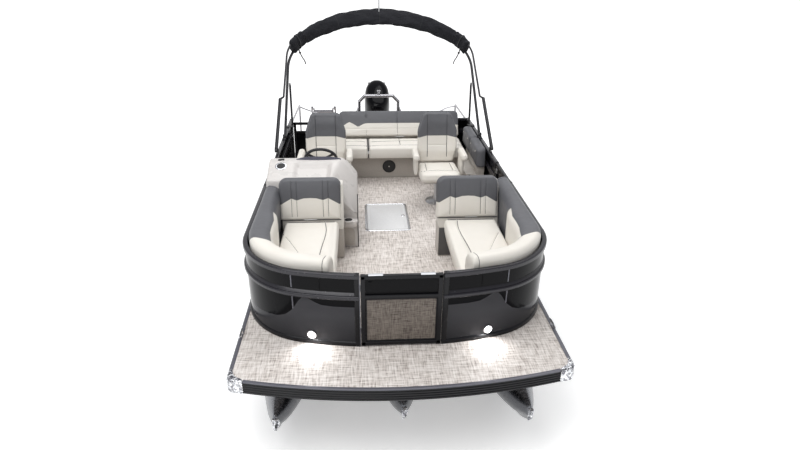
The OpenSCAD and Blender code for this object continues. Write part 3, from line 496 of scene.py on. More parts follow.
class Build:
    """Collects mesh parts, then makes one object of them."""

    def __init__(self):
        self.verts, self.faces, self.slots = [], [], []
        self.zone, self.seam = [], []

    def add(self, verts, faces, mat=0, zone=None, seam=None):
        base = len(self.verts)
        verts = [tuple(map(float, v)) for v in verts]
        self.verts += verts
        self.faces += [tuple(base + i for i in f) for f in faces]
        self.slots += [mat] * len(faces)
        self.zone += list(zone) if zone is not None else [-1.0] * len(verts)
        self.seam += list(seam) if seam is not None else [1.0] * len(verts)

    def strip(self, rings, mat=0, closed=True, caps=True, zone=None):
        """Skin over equal rings of points; closed says that each ring is a loop."""
        rings = np.asarray(rings, float)
        n, m = rings.shape[:2]
        faces = []
        for i in range(n - 1):
            for j in range(m if closed else m - 1):
                k = (j + 1) % m
                faces.append((i * m + j, i * m + k, (i + 1) * m + k, (i + 1) * m + j))
        if closed and caps:
            faces.append(tuple(reversed(range(m))))
            faces.append(tuple((n - 1) * m + j for j in range(m)))
        self.add(rings.reshape(-1, 3), faces, mat, zone)

    def tube(self, path, radius, mat=0, sides=14, caps=True, flat=(1.0, 1.0)):
        """Tube along a 3-D path; radius is one number or one per point, flat squashes it."""
        path = np.asarray(path, float)
        n = len(path)
        radii = np.full(n, radius, float) if np.isscalar(radius) else np.asarray(radius, float)
        tangent = np.gradient(path, axis=0)
        tangent /= np.maximum(np.linalg.norm(tangent, axis=1, keepdims=True), 1e-12)
        ref = np.array([0, 0, 1.0]) if abs(tangent[0][2]) < 0.9 else np.array([1.0, 0, 0])
        u = unit(np.cross(tangent[0], ref))
        rings = []
        for i in range(n):
            u = unit(u - np.dot(u, tangent[i]) * tangent[i])
            w = np.cross(tangent[i], u)
            rings.append([path[i] + radii[i] * (math.cos(a) * flat[0] * u
                                                + math.sin(a) * flat[1] * w) for a in turns(sides)])
        self.strip(rings, mat, True, caps)

    def sweep(self, profile, plan, mat=0, closed_plan=False, caps=True, zone=None):
        """Closed profile of (inward, up) points along a plan of (x, y, inward_x, inward_y, z)."""
        rings = [[(x + n * nx, y + n * ny, z + up) for n, up in profile] for x, y, nx, ny,
                 z in plan]
        if closed_plan:
            rings.append(rings[0])
        values = None
        if zone is not None:
            values = [zone(i, n, up) for i in range(len(rings)) for n, up in profile]
        self.strip(rings, mat, True, caps and not closed_plan, values)

    def lathe(self, profile, place, axis=(0, 0, 1), mat=0, sides=32):
        """Profile of (radius, height) points turned about an axis through place."""
        axis = unit(axis)
        ref = np.array([1.0, 0, 0]) if abs(axis[0]) < 0.9 else np.array([0, 1.0, 0])
        u = unit(np.cross(axis, ref))
        w = np.cross(axis, u)
        rings = [[np.asarray(place) + h * axis + r * (math.cos(a) * u + math.sin(a) * w)
                  for a in turns(sides)] for r, h in profile]
        self.strip(rings, mat)

    def block(self, lo, hi, radius=0.004, mat=0, steps=2):
        """Box with rounded edges."""
        lo, hi = np.asarray(lo, float), np.asarray(hi, float)
        radius = min(radius, *(0.49 * (hi - lo)))
        outline = rounded(rect(lo[0], lo[1], hi[0], hi[1]), radius, steps + 1)
        centre = (lo[:2] + hi[:2]) / 2
        rings = []
        levels = [(radius * (1 - math.sin(a)), lo[2] + radius * (1 - math.cos(a)))
                  for a in np.linspace(0, math.pi / 2, steps + 1)]
        levels += [(inset, lo[2] + hi[2] - z) for inset, z in reversed(levels)]
        for inset, z in levels:
            scale = (1 - inset / np.maximum((hi - lo)[:2] / 2, 1e-9))
            rings.append([(centre[0] + (x - centre[0]) * scale[0],
                           centre[1] + (y - centre[1]) * scale[1], z) for x, y in outline])
        self.strip(rings, mat)

    def plate(self, polygon, axis, lo, hi, mat=0, bevel=0.0):
        """Polygon extruded along an axis: 0, 1 or 2; the polygon's points are the other two."""
        polygon = np.asarray(polygon, float)
        centre = polygon.mean(axis=0)
        levels = [(0.0, lo), (0.0, hi)]
        if bevel:
            levels = [(bevel, lo), (0.0, lo + bevel), (0.0, hi - bevel), (bevel, hi)]
        reach = np.linalg.norm(polygon - centre, axis=1).mean()
        rings = []
        for inset, level in levels:
            flat = centre + (polygon - centre) * (1 - inset / reach)
            rings.append(np.insert(flat, axis, level, axis=1))
        self.strip(rings, mat)

    def sided(self, side):
        """Itself on the port side, its mirror image on the starboard side."""
        if side > 0:
            return self
        other = Build()
        other.verts = [(-x, y, z) for x, y, z in self.verts]
        other.faces = [tuple(reversed(f)) for f in self.faces]
        other.slots, other.zone, other.seam = list(self.slots), list(self.zone), list(self.seam)
        return other

    def make(self, name, mats, slot, body="hull", replaces=(), sharp=38, pad=None):
        mesh = bpy.data.meshes.new(name)
        mesh.from_pydata(self.verts, [], self.faces)
        for m in mats:
            mesh.materials.append(MAT[m])
        mesh.polygons.foreach_set("material_index", self.slots)
        for key, values in (("zone", self.zone), ("seam", self.seam)):
            mesh.attributes.new(key, "FLOAT", "POINT").data.foreach_set("value", values)
        work = bmesh.new()
        work.from_mesh(mesh)
        bmesh.ops.remove_doubles(work, verts=work.verts, dist=1e-6)
        bmesh.ops.recalc_face_normals(work, faces=work.faces)
        work.to_mesh(mesh)
        work.free()
        mesh.shade_smooth()
        mesh.set_sharp_from_angle(angle=math.radians(sharp))
        obj = bpy.data.objects.new(name, mesh)
        bpy.context.collection.objects.link(obj)
        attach(obj, body)
        if replaces:
            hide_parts(*([replaces] if isinstance(replaces, str) else replaces))
        return obj


def repaint(node, mat):
    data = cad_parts[node].data
    data.materials.clear()
    data.materials.append(MAT[mat])


def straight_line_distance(x, y, line):
    """Distance from each (x, y) to a polyline."""
    best = np.full(np.shape(x), 9.0)
    for (ax, ay), (bx, by) in zip(line[:-1], line[1:]):
        dx, dy = bx - ax, by - ay
        t = np.clip(((x - ax) * dx + (y - ay) * dy) / max(dx * dx + dy * dy, 1e-12), 0, 1)
        best = np.minimum(best, np.hypot(x - ax - t * dx, y - ay - t * dy))
    return best


class Cushion:
    """Stuffed pad over a plan outline: crowned top, rounded edges, sides that bulge, sewn channels.

    Local axes: x and y in the outline's plane, z through its thickness. warp moves a local point
    (x, y, z) afterwards, and place takes it to the CAD frame.
    """

    def __init__(self, outline, low, high, edge=0.03, crown=0.02, bulge=0.008, channels=(),
                 depth=0.007, width=0.009, warp=None, place=None, zone=None, puff=None, around=200,
                 rings=34):
        self.outline = resample(outline, around, closed=True)
        area = 0.5 * np.sum(self.outline[:, 0] * np.roll(self.outline[:, 1],
                                                         -1) - np.roll(self.outline[:, 0],
                                                                       -1) * self.outline[:, 1])
        if area < 0:
            self.outline = self.outline[::-1]
        step = np.roll(self.outline, -1, axis=0) - np.roll(self.outline, 1, axis=0)
        normal = np.stack([step[:, 1], -step[:, 0]], axis=1)
        self.normal = normal / np.linalg.norm(normal, axis=1, keepdims=True)
        self.centre = (self.outline.max(axis=0) + self.outline.min(axis=0)) / 2
        self.low, self.high, self.edge, self.crown, self.bulge = low, high, edge, crown, bulge
        self.channels = [np.asarray(c, float) for c in channels]
        self.depth, self.width = depth, width
        self.warp, self.place, self.zone, self.puff = warp, place, zone, puff
        self.rings = rings
        inset = self.outline - self.normal * edge
        away = inset - self.centre
        angle = np.arctan2(away[:, 1], away[:, 0])
        order = np.argsort(angle)
        self.angles, self.reach = angle[order], np.linalg.norm(away, axis=1)[order]

    def top(self, x, y):
        away = np.hypot(x - self.centre[0], y - self.centre[1])
        angle = np.arctan2(y - self.centre[1], x - self.centre[0])
        reach = np.interp(angle, self.angles, self.reach, period=2 * math.pi)
        s = np.clip(away / reach, 0, 1)
        z = self.high + self.crown * (1 - s ** 2.6)
        for line in self.channels:
            gap = straight_line_distance(x, y, line)
            z = z - self.depth * np.exp(-(gap / self.width) ** 2) * (1 - 0.3 * s ** 6)
        if self.puff is not None:
            z = z + self.puff(x, y) * (1 - s ** 6)
        return z

    def world(self, points):
        points = np.asarray(points, float)
        if self.warp is not None:
            points = self.warp(points)
        return np.array([tuple(self.place(*p)) for p in points])

    def line(self, path, lift=0.001, count=60):
        """A 2-D path laid on the pad's top, in the CAD frame."""
        flat = resample(path, count)
        z = self.top(flat[:, 0], flat[:, 1]) + lift
        return self.world(np.column_stack([flat, z]))

    def sew(self, build, mat, radius=0.0026, skip=()):
        """Dark thread lines laid in the channels."""
        for k, path in enumerate(self.channels):
            if k not in skip:
                line = self.line(path, 0.0012, max(12, int(60 * np.ptp(path, axis=0).max() / 0.5)))
                build.tube(line, radius, mat, 6)

    def add_to(self, build, mat=0):
        o, n, c = self.outline, self.normal, self.centre
        base_edge = min(self.edge, 0.012)
        rings = []
        for s in (0.02, 0.5, 0.9):
            flat = c + (o - n * base_edge - c) * s
            rings.append(np.column_stack([flat, np.full(len(o), self.low)]))
        for a in np.linspace(0, math.pi / 2, 4):
            flat = o - n * base_edge * (1 - math.sin(a))
            rings.append(np.column_stack([flat, np.full(len(o),
                                                        self.low + base_edge * (1 - math.cos(a)))]))
        wall_low, wall_high = self.low + base_edge, self.high - self.edge
        for t in np.linspace(0, 1, 8)[1:-1]:
            flat = o + n * self.bulge * math.sin(math.pi * t)
            rings.append(np.column_stack([flat, np.full(len(o),
                                                        wall_low + (wall_high - wall_low) * t)]))
        for a in np.linspace(0, math.pi / 2, 7):
            flat = o - n * self.edge * (1 - math.cos(a))
            z = wall_high + self.edge * math.sin(a)
            rings.append(np.column_stack([flat, z * np.ones(len(o))]))
        for s in np.linspace(1, 0.015, self.rings)[1:]:
            flat = c + (o - n * self.edge - c) * s
            rings.append(np.column_stack([flat, self.top(flat[:, 0], flat[:, 1])]))
        rings = np.array(rings)
        local = rings.reshape(-1, 3)
        zone = None
        if self.zone is not None:
            zone = self.zone(local[:, 0], local[:, 1], local[:, 2])
        count, around = rings.shape[:2]
        faces = [(i * around + j, i * around + (j + 1) % around,
                  (i + 1) * around + (j + 1) % around, (i + 1) * around + j)
                 for i in range(count - 1) for j in range(around)]
        faces.append(tuple(reversed(range(around))))
        faces.append(tuple((count - 1) * around + j for j in range(around)))
        build.add(self.world(local), faces, mat, zone)


# ---------------------------------------------------------------- plan curves of the boat

BEAM = 1.295
BOW_SAG = 0.167
BOW_R = (BEAM ** 2 + BOW_SAG ** 2) / (2 * BOW_SAG)
DECK_L = 6.13
FENCE_X, FENCE_Y, FRONT_R, CORNER_R = 1.283, 0.494, 3.2, 0.66
CORNER_X = FENCE_X - CORNER_R
CORNER_Y = FENCE_Y + FRONT_R - math.sqrt((FRONT_R - CORNER_R) ** 2 - CORNER_X ** 2)
CORNER_ANGLE = math.atan2(CORNER_X, FENCE_Y + FRONT_R - CORNER_Y)
FRONT_LENGTH = FRONT_R * CORNER_ANGLE
CORNER_LENGTH = CORNER_R * (math.pi / 2 - CORNER_ANGLE)
FENCE_H = 0.65
POST_HALF = 0.019       # half the side of a fence post
FENCE_END = 4.918


def fence_point(s):
    """Point and inward normal on the fence's outer face, s metres round from the bow to port."""
    if s < FRONT_LENGTH:
        a = s / FRONT_R
        return (FRONT_R * math.sin(a), FENCE_Y + FRONT_R - FRONT_R * math.cos(a), -math.sin(a),
                math.cos(a))
    if s < FRONT_LENGTH + CORNER_LENGTH:
        a = CORNER_ANGLE + (s - FRONT_LENGTH) / CORNER_R
        return (CORNER_X + CORNER_R * math.sin(a), CORNER_Y - CORNER_R * math.cos(a), -math.sin(a),
                math.cos(a))
    return FENCE_X, CORNER_Y + s - FRONT_LENGTH - CORNER_LENGTH, -1.0, 0.0


def fence_s(y):
    """How far round the fence's straight side a distance from the bow edge is."""
    return y - CORNER_Y + FRONT_LENGTH + CORNER_LENGTH


def fence_s_at_x(x):
    return FRONT_R * math.asin(x / FRONT_R)


def fence_plan(s0, s1, z=0.0, step=0.03):
    count = max(2, int(abs(s1 - s0) / step) + 1)
    out = []
    for s in np.linspace(s0, s1, count):
        x, y, nx, ny = fence_point(s)
        p = at(x, y, z)
        out.append((p.x, p.y, nx, ny, p.z))
    return out


# ---------------------------------------------------------------- hull and deck

TUBE_R, TUBE_LOW = 0.3175, 0.02      # pontoon's radius, and its underside above the floor
STEM_HALF, KEEL_HALF = 0.007, 0.018  # half widths of the stem bar and of the keel


def make_pontoon(name, x, nose_y, node):
    b = Build()
    keel, r = TUBE_LOW, TUBE_R
    ys = [0.0, 0.015, 0.04, 0.10, 0.20, 0.32, 0.46, 0.62, 0.80, 1.00, 1.20, 1.35]
    rs = [0.006, 0.022, 0.035, 0.062, 0.098, 0.130, 0.165, 0.205, 0.245, 0.285, 0.310, r]
    low = [0.400, 0.391, 0.375, 0.326, 0.254, 0.190, 0.132, 0.085, 0.050, 0.031, 0.022, keel]
    zs = [z + radius for z, radius in zip(low, rs)]
    curve = smooth_curve(np.column_stack([ys, rs, zs]), 4)
    rings = []
    angles = turns(72)
    for y, radius, z in curve:
        # Pinched towards the keel line at the tip, so that the bow is a soft V
        pinch = 0.42 * max(0.0, 1 - y / 0.9)
        ring = []
        for a in angles:
            under = 0.5 * (1 + math.cos(a))
            lift = -0.06 * min(math.cos(a), 0.0) * max(0.0, 1 - y / 0.8)
            ring.append(floor_at(x + radius * math.sin(a) * (1 - pinch * under ** 1.5), nose_y + y,
                                 z - radius * math.cos(a) + lift))
        rings.append(ring)
    for y in np.linspace(nose_y + 1.45, 5.95, 12):
        rings.append([floor_at(x + r * math.sin(a), y, keel + r - r * math.cos(a)) for a in angles])
    b.strip(rings, 0)
    # Stem bar and keel, following the nose's lower edge
    path = [(y + nose_y, z - radius) for y, radius, z in curve]
    outer = [(y - 0.020, z - 0.012) for y, z in path[:-1]] + [(path[-1][0], 0.0), (5.94, 0.0)]
    inner = [(y + 0.03, z + 0.02) for y, z in path] + [(5.94, 0.04)]
    top = [(nose_y - 0.020, 0.47), (nose_y + 0.05, 0.47)]
    bar = []
    for (oy, oz), (iy, iz) in zip([top[0]] + outer, [top[1]] + inner):
        wide = STEM_HALF if oy < nose_y + 0.8 else KEEL_HALF
        bar.append([floor_at(x - wide, oy, oz), floor_at(x + wide, oy, oz),
                    floor_at(x + wide, iy, iz), floor_at(x - wide, iy, iz)])
    b.strip(bar, 1)
    # Strakes, risers and their flanges
    for s in (-1, 1):
        strake = [(x + s * 0.252, 0.1875), (x + s * 0.335, 0.1695), (x + s * 0.322, 0.163),
                  (x + s * 0.228, 0.125)]
        b.strip([[floor_at(px, y, pz) for px, pz in strake] for y in (1.75, 5.93)], 0)
        for off, wide, low_z, high_z in ((0.130, 0.005, 0.55, 0.706), (0.155, 0.03, 0.699, 0.707)):
            b.block(floor_at(x + s * off - wide, nose_y + 0.80, low_z),
                    floor_at(x + s * off + wide, 5.88, high_z), 0.002, 0)
    # Weld beads round the tube's joints
    for y in (nose_y + 1.36, 2.9, 4.6, 5.90):
        b.tube([floor_at(x + (r + 0.001) * math.sin(a), y, keel + r - (r + 0.001) * math.cos(a))
                for a in np.linspace(0, 2 * math.pi, 73)], 0.004, 0, 6, False)
    # End cap rim
    b.lathe([(0.05, 0), (r - 0.03, 0.004), (r - 0.01, 0.012), (r, 0.0)],
            floor_at(x, 5.938, keel + r), Y_AXIS, 0, 72)
    b.make(name, ["tube", "tube_dark"], "tube_metal", "hull", node, 42)
    # Towing eye
    e = Build()
    centre = np.array(floor_at(x, nose_y - 0.024, 0.443))
    ring = [centre + np.array((0.014 * math.cos(a) + 0.010, 0.030 * math.cos(a) + 0.012,
                               0.036 * math.sin(a))) for a in np.linspace(0, 2 * math.pi, 33)]
    e.tube(ring, 0.0100, 0, 12, False)
    e.block(floor_at(x - 0.008, nose_y - 0.006, 0.385), floor_at(x + 0.008, nose_y + 0.03, 0.475),
            0.004, 0)
    stem = [(x - 0.013, 0.372), (x + 0.013, 0.372), (x + 0.016, 0.48), (x - 0.016, 0.48)]
    e.strip([[floor_at(px, nose_y + dy + 0.10 * max(0.0, 0.40 - pz), pz) for px, pz in stem]
             for dy in (-0.006, 0.012)], 0)
    e.make(name + "_eye", ["cast"], "tube_metal", "hull")


CASTING_REACH = 0.118


def deck_edge(part):
    """Stretch of the deck's edge between two corner castings, as plan points."""
    out = []
    end = BEAM - CASTING_REACH
    if part == "bow":
        for x in np.linspace(-end, end, 61):
            root = math.sqrt(BOW_R ** 2 - x * x)
            out.append((x, BOW_R - root + BOW_Y, -x / BOW_R, root / BOW_R, DECK_Z))
    elif part == "stern":
        for x in np.linspace(-end, end, 9):
            out.append((x, DECK_L + BOW_Y, 0.0, -1.0, DECK_Z))
    else:
        s = 1 if part == "port" else -1
        for y in np.linspace(BOW_SAG + CASTING_REACH, DECK_L - CASTING_REACH, 21):
            out.append((s * BEAM, y + BOW_Y, -s * 1.0, 0.0, DECK_Z))
    return out


def make_deck_trim():
    b = Build()
    low = -0.102
    face = [(0.021, low), (0.004, low)]
    rib = 0.021
    for k in range(4):
        z = low + 0.006 + k * rib
        face += [(0.0, z), (0.0, z + 0.010), (0.0050, z + 0.013), (0.0050, z + 0.018)]
    face += [(0.0, -0.012), (0.0, -0.004), (0.021, -0.004)]
    lip = rounded([(0.0, -0.004), (0.0, 0.0045), (0.030, 0.0045), (0.030, 0.0), (0.021, -0.004)],
                  [0.002, 0.003, 0.003, 0.0, 0.0], 3)
    for part in ("bow", "stern", "port", "starboard"):
        b.sweep(face, deck_edge(part), 0)
        b.sweep(lip, deck_edge(part), 1)
    b.make("deck_trim_extrusion", ["trim", "lip"], "fence_black", "hull", "deck_trim", 30)


def make_castings():
    """Polished corner castings with their screws, and the mooring cleats."""
    b = Build()
    fillet, reach = 0.050, CASTING_REACH
    for sx in (-1, 1):
        for stern in (False, True):
            cy = DECK_L - fillet if stern else BOW_SAG + 0.0387
            cx = BEAM - fillet
            outline = []
            if stern:
                outline.append((BEAM - reach, DECK_L))
                outline += [(cx + fillet * math.sin(a), cy + fillet * math.cos(a))
                            for a in np.linspace(0, math.pi / 2, 9)]
                outline.append((BEAM, DECK_L - reach))
            else:
                lean = math.asin(cx / BOW_R)
                for x in (BEAM - reach, BEAM - 0.09):
                    outline.append((x, BOW_R - math.sqrt(BOW_R ** 2 - x * x)))
                outline += [(cx + fillet * math.sin(a), cy - fillet * math.cos(a))
                            for a in np.linspace(lean, math.pi / 2, 9)]
                outline.append((BEAM, BOW_SAG + reach))
            pts = np.array(outline)
            centre = np.array((BEAM - reach * 0.98, DECK_L - reach * 0.98 if stern else BOW_SAG
                               + reach * 0.98))

            def ring(out, z):
                away = pts - centre
                away = away / np.linalg.norm(away, axis=1, keepdims=True)
                flat = pts + away * out
                return [(sx * x, y + BOW_Y, DECK_Z + z) for x, y in flat]
            rings = [ring(-0.020, -0.104), ring(0.000, -0.104), ring(0.004, -0.096),
                     ring(0.0045, -0.060), ring(0.0015, -0.052), ring(0.0015, -0.040),
                     ring(0.0045, -0.032), ring(0.004, -0.004), ring(0.001, 0.005),
                     ring(-0.006, 0.0095), ring(-0.024, 0.0095)]
            b.strip(rings, 0, closed=False)
            # Flat cap on top, its inner edge a curve
            top = ring(-0.024, 0.0095)
            inner = []
            for t in np.linspace(0, 1, len(top)):
                p = (1 - t) * np.array(top[0]) + t * np.array(top[-1])
                pull = (np.array((sx * BEAM, (DECK_L if stern else BOW_SAG) + BOW_Y, 0)) - p) * 0.25
                pull[2] = 0
                inner.append(tuple(p + pull * math.sin(math.pi * t)))
            low = [(x, y, DECK_Z + 0.001) for x, y, _ in inner]
            b.strip([top, inner, low], 0, closed=False)
            # Screws
            for t in (0.14, 0.86):
                k = int(t * (len(top) - 1))
                p = np.array(top[k]) * 0.7 + np.array(inner[k]) * 0.3
                b.lathe([(0.0, 0.003), (0.006, 0.0025), (0.0075, 0.0)], p, Z_AXIS, 0, 14)
    for sx in (-1, 1):
        for y in (0.70, 5.40):
            c = at(sx * (BEAM - 0.017), y, 0.004)
            for e in (-0.028, 0.028):
                b.tube([(c.x, c.y + e, c.z), (c.x, c.y + e, c.z + 0.026)], [0.012, 0.008], 0, 14)
            path = [(c.x, c.y + t, c.z + 0.028 + 0.006 * (1 - (t / 0.075) ** 2))
                    for t in np.linspace(-0.075, 0.075, 15)]
            radii = [0.0075 * math.sqrt(max(0.05, 1 - (t / 0.0755) ** 4))
                     for t in np.linspace(-0.075, 0.075, 15)]
            b.tube(path, radii, 0, 12)
    b.make("corner_castings", ["cast"], "frame_metal", "hull", "deck_castings", 50)


def make_hatch():
    """Lid with a raised field, its bright rounded rim and a flush latch."""
    w, l = 0.457, 0.707
    centre = at(0, 2.948, 0)
    lid = Build()

    def outline(inset, r):
        hw, hl = w / 2 - inset, l / 2 - inset
        return rounded(rect(-hw, -hl, hw, hl), r, 6)

    levels = [(0.002, 0.030, -0.010), (0.0, 0.032, -0.008), (0.0, 0.032, 0.0015),
              (0.002, 0.030, 0.0032), (0.022, 0.020, 0.0036), (0.026, 0.018, 0.0020),
              (0.030, 0.016, 0.0020), (0.034, 0.015, 0.0036)]
    rings = [[(centre.x + x, centre.y + y, centre.z + z) for x, y in outline(i, r)] for i, r,
             z in levels]
    lid.strip(rings, 0)
    lid.lathe([(0.0, 0.006), (0.020, 0.0058), (0.024, 0.004), (0.024, 0.0036)], at(0.19, 2.97, 0),
              Z_AXIS, 1, 28)
    lid.block(at(0.172, 2.964, 0.005), at(0.208, 2.976, 0.0078), 0.002, 1)
    lid.make("hatch_lid_panel", ["lid", "polished"], "lid_grey", "hatch_lid", "hatch_lid", 35)
    rim = Build()
    loop = resample(outline(-0.0165, 0.045), 120, closed=True)
    path = np.column_stack([loop[:, 0] + centre.x, loop[:, 1] + centre.y,
                            np.full(len(loop), centre.z + 0.0015)])
    path = np.vstack([path, path[:2]])
    rim.tube(path, 0.0105, 0, 10, False, flat=(1.0, 0.5))
    rim.make("hatch_rim", ["polished"], "frame_metal", "hull", None, 50)


# ---------------------------------------------------------------- fence

WAVE_S = [0.0, 0.53, 0.62, 0.67, 0.72, 0.765, 0.805, 0.855, 0.92, 1.00, 1.12, 1.35, 1.70, 6.5]
WAVE_Z = [0.362, 0.358, 0.365, 0.385, 0.415, 0.425, 0.38, 0.30, 0.24, 0.205, 0.185, 0.16, 0.15,
          0.15]


def wave(s):
    return float(np.interp(s, WAVE_S, WAVE_Z))


RAIL_TOP = rounded(rect(-0.003, 0.612, 0.041, 0.650), [0.004, 0.004, 0.011, 0.011], 5)
RAIL_BOTTOM = rounded([(-0.002, 0.002), (0.040, 0.002), (0.040, 0.040), (0.008, 0.040),
                       (-0.002, 0.030)], 0.004, 3)
RAIL_MID = rounded([(-0.004, 0.426), (-0.010, 0.432), (-0.010, 0.453), (-0.004, 0.460),
                    (0.006, 0.463), (0.036, 0.500), (0.036, 0.425)], 0.004, 4)
SKIN_UPPER = [(0.022, 0.458), (0.022, 0.496), (0.010, 0.501), (0.010, 0.616), (0.026, 0.616),
              (0.026, 0.458)]


def fence_wall(b, plan, s_values):
    """Rails and two-tone skin along a plan path, with s for the colour boundary."""
    # Slot 3 on the top and mid rails is the lighter rail copy, a painted highlight
    b.sweep(RAIL_TOP, plan, 3)
    b.sweep(RAIL_BOTTOM, plan, 0)
    b.sweep(RAIL_MID, plan, 3)
    b.sweep(SKIN_UPPER, plan, 1)
    heights = np.linspace(0.036, 0.430, 12)
    skin = [(0.010, z) for z in heights] + [(0.022, z) for z in heights[::-1]]
    b.sweep(skin, plan, 2, zone=lambda i, n, up: up - wave(s_values[i]) if n < 0.015 else 0.2)


def joint_strip(b, s, spans, mat, half=0.005):
    """Slim upright over a joint between two skins, between pairs of heights."""
    x, y, nx, ny = fence_point(s)
    tx, ty = -ny, nx
    for low, high in spans:
        ring = [(0.007, -half), (0.005, -half * 0.5), (0.005, half * 0.5), (0.007, half),
                (0.014, half), (0.014, -half)]
        b.strip([[at(x + n * nx + t * tx, y + n * ny + t * ty, z) for n, t in ring]
                 for z in (low, high)], mat)


def post(b, x, y, turn=0.0):
    """Square upright, turned in plan, with a cap a little inside the rail's top."""
    ring = rounded(rect(-POST_HALF, -POST_HALF, POST_HALF, POST_HALF), 0.006, 3)
    c, s = math.cos(turn), math.sin(turn)
    b.strip([[at(x + c * u - s * v, y + s * u + c * v, z) for u, v in ring]
             for z in (0.001, FENCE_H - 0.002, FENCE_H)], 0)


def bow_fence(side):
    b = Build()
    s0 = fence_s_at_x(0.322)
    s1 = fence_s(2.362)
    plan = fence_plan(s0, s1, 0, 0.02)
    fence_wall(b, plan, np.linspace(s0, s1, len(plan)))
    # Joint strip in the lighter lip grey: a painted highlight on the panel joint
    joint_strip(b, 0.85, [(0.502, 0.614), (wave(0.85), 0.428)], 4)
    joint_strip(b, 0.628, [(0.502, 0.614)], 1, 0.0035)
    # Jamb that closes the gap beside the gate
    b.block(at(0.3150, 0.512, 0.012), at(0.3235, 0.536, 0.640), 0.002, 0 if side > 0 else 4)
    x, y, nx, ny = fence_point(s0 + POST_HALF)
    post(b, x + nx * POST_HALF, y + ny * POST_HALF, math.atan2(ny, nx) - math.pi / 2)
    post(b, FENCE_X - POST_HALF, 2.344)
    name = SIDE_NAME[side]
    b.sided(side).make("fence_bow_" + name, ["rail", "black", "panel", "rail_lit", "lip"],
                       "fence_black", "hull", "bow_fence_" + name, 32)


def side_fence(side):
    b = Build()
    y0 = 2.97 if side > 0 else 2.367
    y1 = FENCE_END - 0.039
    plan = fence_plan(fence_s(y0), fence_s(y1), 0, 0.1)
    fence_wall(b, plan, np.linspace(fence_s(y0), fence_s(y1), len(plan)))
    for y in (3.3, 3.9, 4.45):
        joint_strip(b, fence_s(y), [(0.04, 0.428), (0.502, 0.614)], 0)
    post(b, FENCE_X - POST_HALF, y0 + 0.020)
    post(b, FENCE_X - POST_HALF, y1 - 0.020)
    name = SIDE_NAME[side]
    b.sided(side).make("fence_side_" + name, ["rail", "black", "panel", "rail_lit"], "fence_black",
                       "hull", "side_fence_" + name, 32)


def stern_fence():
    b = Build()
    x0, x1 = -0.563, 1.281
    plan = []
    for x in np.linspace(x1, x0, 8):
        p = at(x, FENCE_END, 0)
        plan.append((p.x, p.y, 0.0, -1.0, p.z))
    fence_wall(b, plan, [6.0] * len(plan))
    for x in (x0 + 0.02, 0.05, 0.65, FENCE_X - POST_HALF, POST_HALF - FENCE_X):
        post(b, x, FENCE_END - POST_HALF)
    b.make("fence_stern", ["rail", "black", "panel", "rail_lit"], "fence_black", "hull",
           "stern_fence", 32)


def gate_frame(b, w, corner, along, inward, lower=0.012, high=0.644, t=0.034, mid=True):
    """Gate frame from its lower outer corner; along and inward are unit plan vectors."""
    a, n = np.array(along), np.array(inward)
    c = np.array(corner)

    def place(u, d, z):
        return at(*(c + a * u + n * d), z)

    def bar(u0, u1, z0, z1, n0, n1, mat, r=0.005):
        ring = rounded(rect(n0, z0, n1, z1), r, 3)
        b.strip([[place(u, d, z) for d, z in ring] for u in (u0, u1)], mat)

    def upright(u0, u1, z0, z1, n0, n1, mat, r=0.005):
        ring = rounded(rect(u0, n0, u1, n1), r, 3)
        b.strip([[place(u, d, z) for u, d in ring] for z in (z0, z1)], mat)

    upright(0.0, 0.036, lower, high - 0.001, 0.0, t, 0)
    upright(w - 0.036, w, lower, high - 0.001, 0.0, t, 0)
    bar(0.002, w - 0.002, high - 0.036, high, 0.0, t, 0, 0.007)
    bar(0.002, w - 0.002, lower, lower + 0.034, 0.0, t, 0)
    if mid:
        bar(0.002, w - 0.002, 0.437, 0.472, 0.001, t - 0.001, 0)
    return bar, upright


def bow_gate():
    b = Build()
    w = 0.624
    bar, upright = gate_frame(b, w, (-0.312, 0.506), (1, 0), (0, 1))
    # Gloss panel above, woven panel below in a slim bead
    bar(0.034, w - 0.034, 0.468, 0.612, 0.013, 0.021, 1, 0.001)
    bar(0.034, w - 0.034, 0.044, 0.440, 0.013, 0.021, 2, 0.001)
    for z in (0.050, 0.434):
        bar(0.036, w - 0.036, z - 0.005, z + 0.005, 0.007, 0.014, 0, 0.002)
    for u in (0.041, w - 0.041):
        upright(u - 0.005, u + 0.005, 0.046, 0.438, 0.007, 0.014, 0, 0.002)
    # Striker plates on the top bar, the latch and the hinges
    for u in (0.115, w - 0.115):
        bar(u - 0.055, u + 0.055, 0.6425, 0.6475, 0.001, 0.033, 3, 0.002)
    bar(0.060, 0.084, 0.566, 0.590, 0.004, 0.012, 1, 0.004)
    for z in (0.13, 0.52):
        p = at(-0.3135, 0.546, z - 0.03)
        b.tube([p, p + Vector((0, 0, 0.06))], 0.006, 3, 12)
    b.make("bow_gate_panel", ["rail", "black", "gate_weave", "satin"], "gate_panel", "bow_gate",
           "bow_gate", 32)


def side_gate():
    b = Build()
    w = 0.586
    bar, _ = gate_frame(b, w, (FENCE_X, 2.372), (0, 1), (-1, 0), t=0.036)
    bar(0.030, w - 0.030, 0.470, 0.612, 0.012, 0.020, 1, 0.001)
    bar(0.030, w - 0.030, 0.044, 0.440, 0.010, 0.018, 1, 0.001)
    for z in (0.13, 0.52):
        p = at(1.2425, 2.369, z - 0.03)
        b.tube([p, p + Vector((0, 0, 0.06))], 0.006, 2, 12)
    bar(w - 0.10, w - 0.05, 0.55, 0.60, 0.034, 0.044, 2, 0.004)
    b.make("side_gate_panel", ["rail", "black", "satin"], "fence_black", "side_gate", "side_gate",
           32)


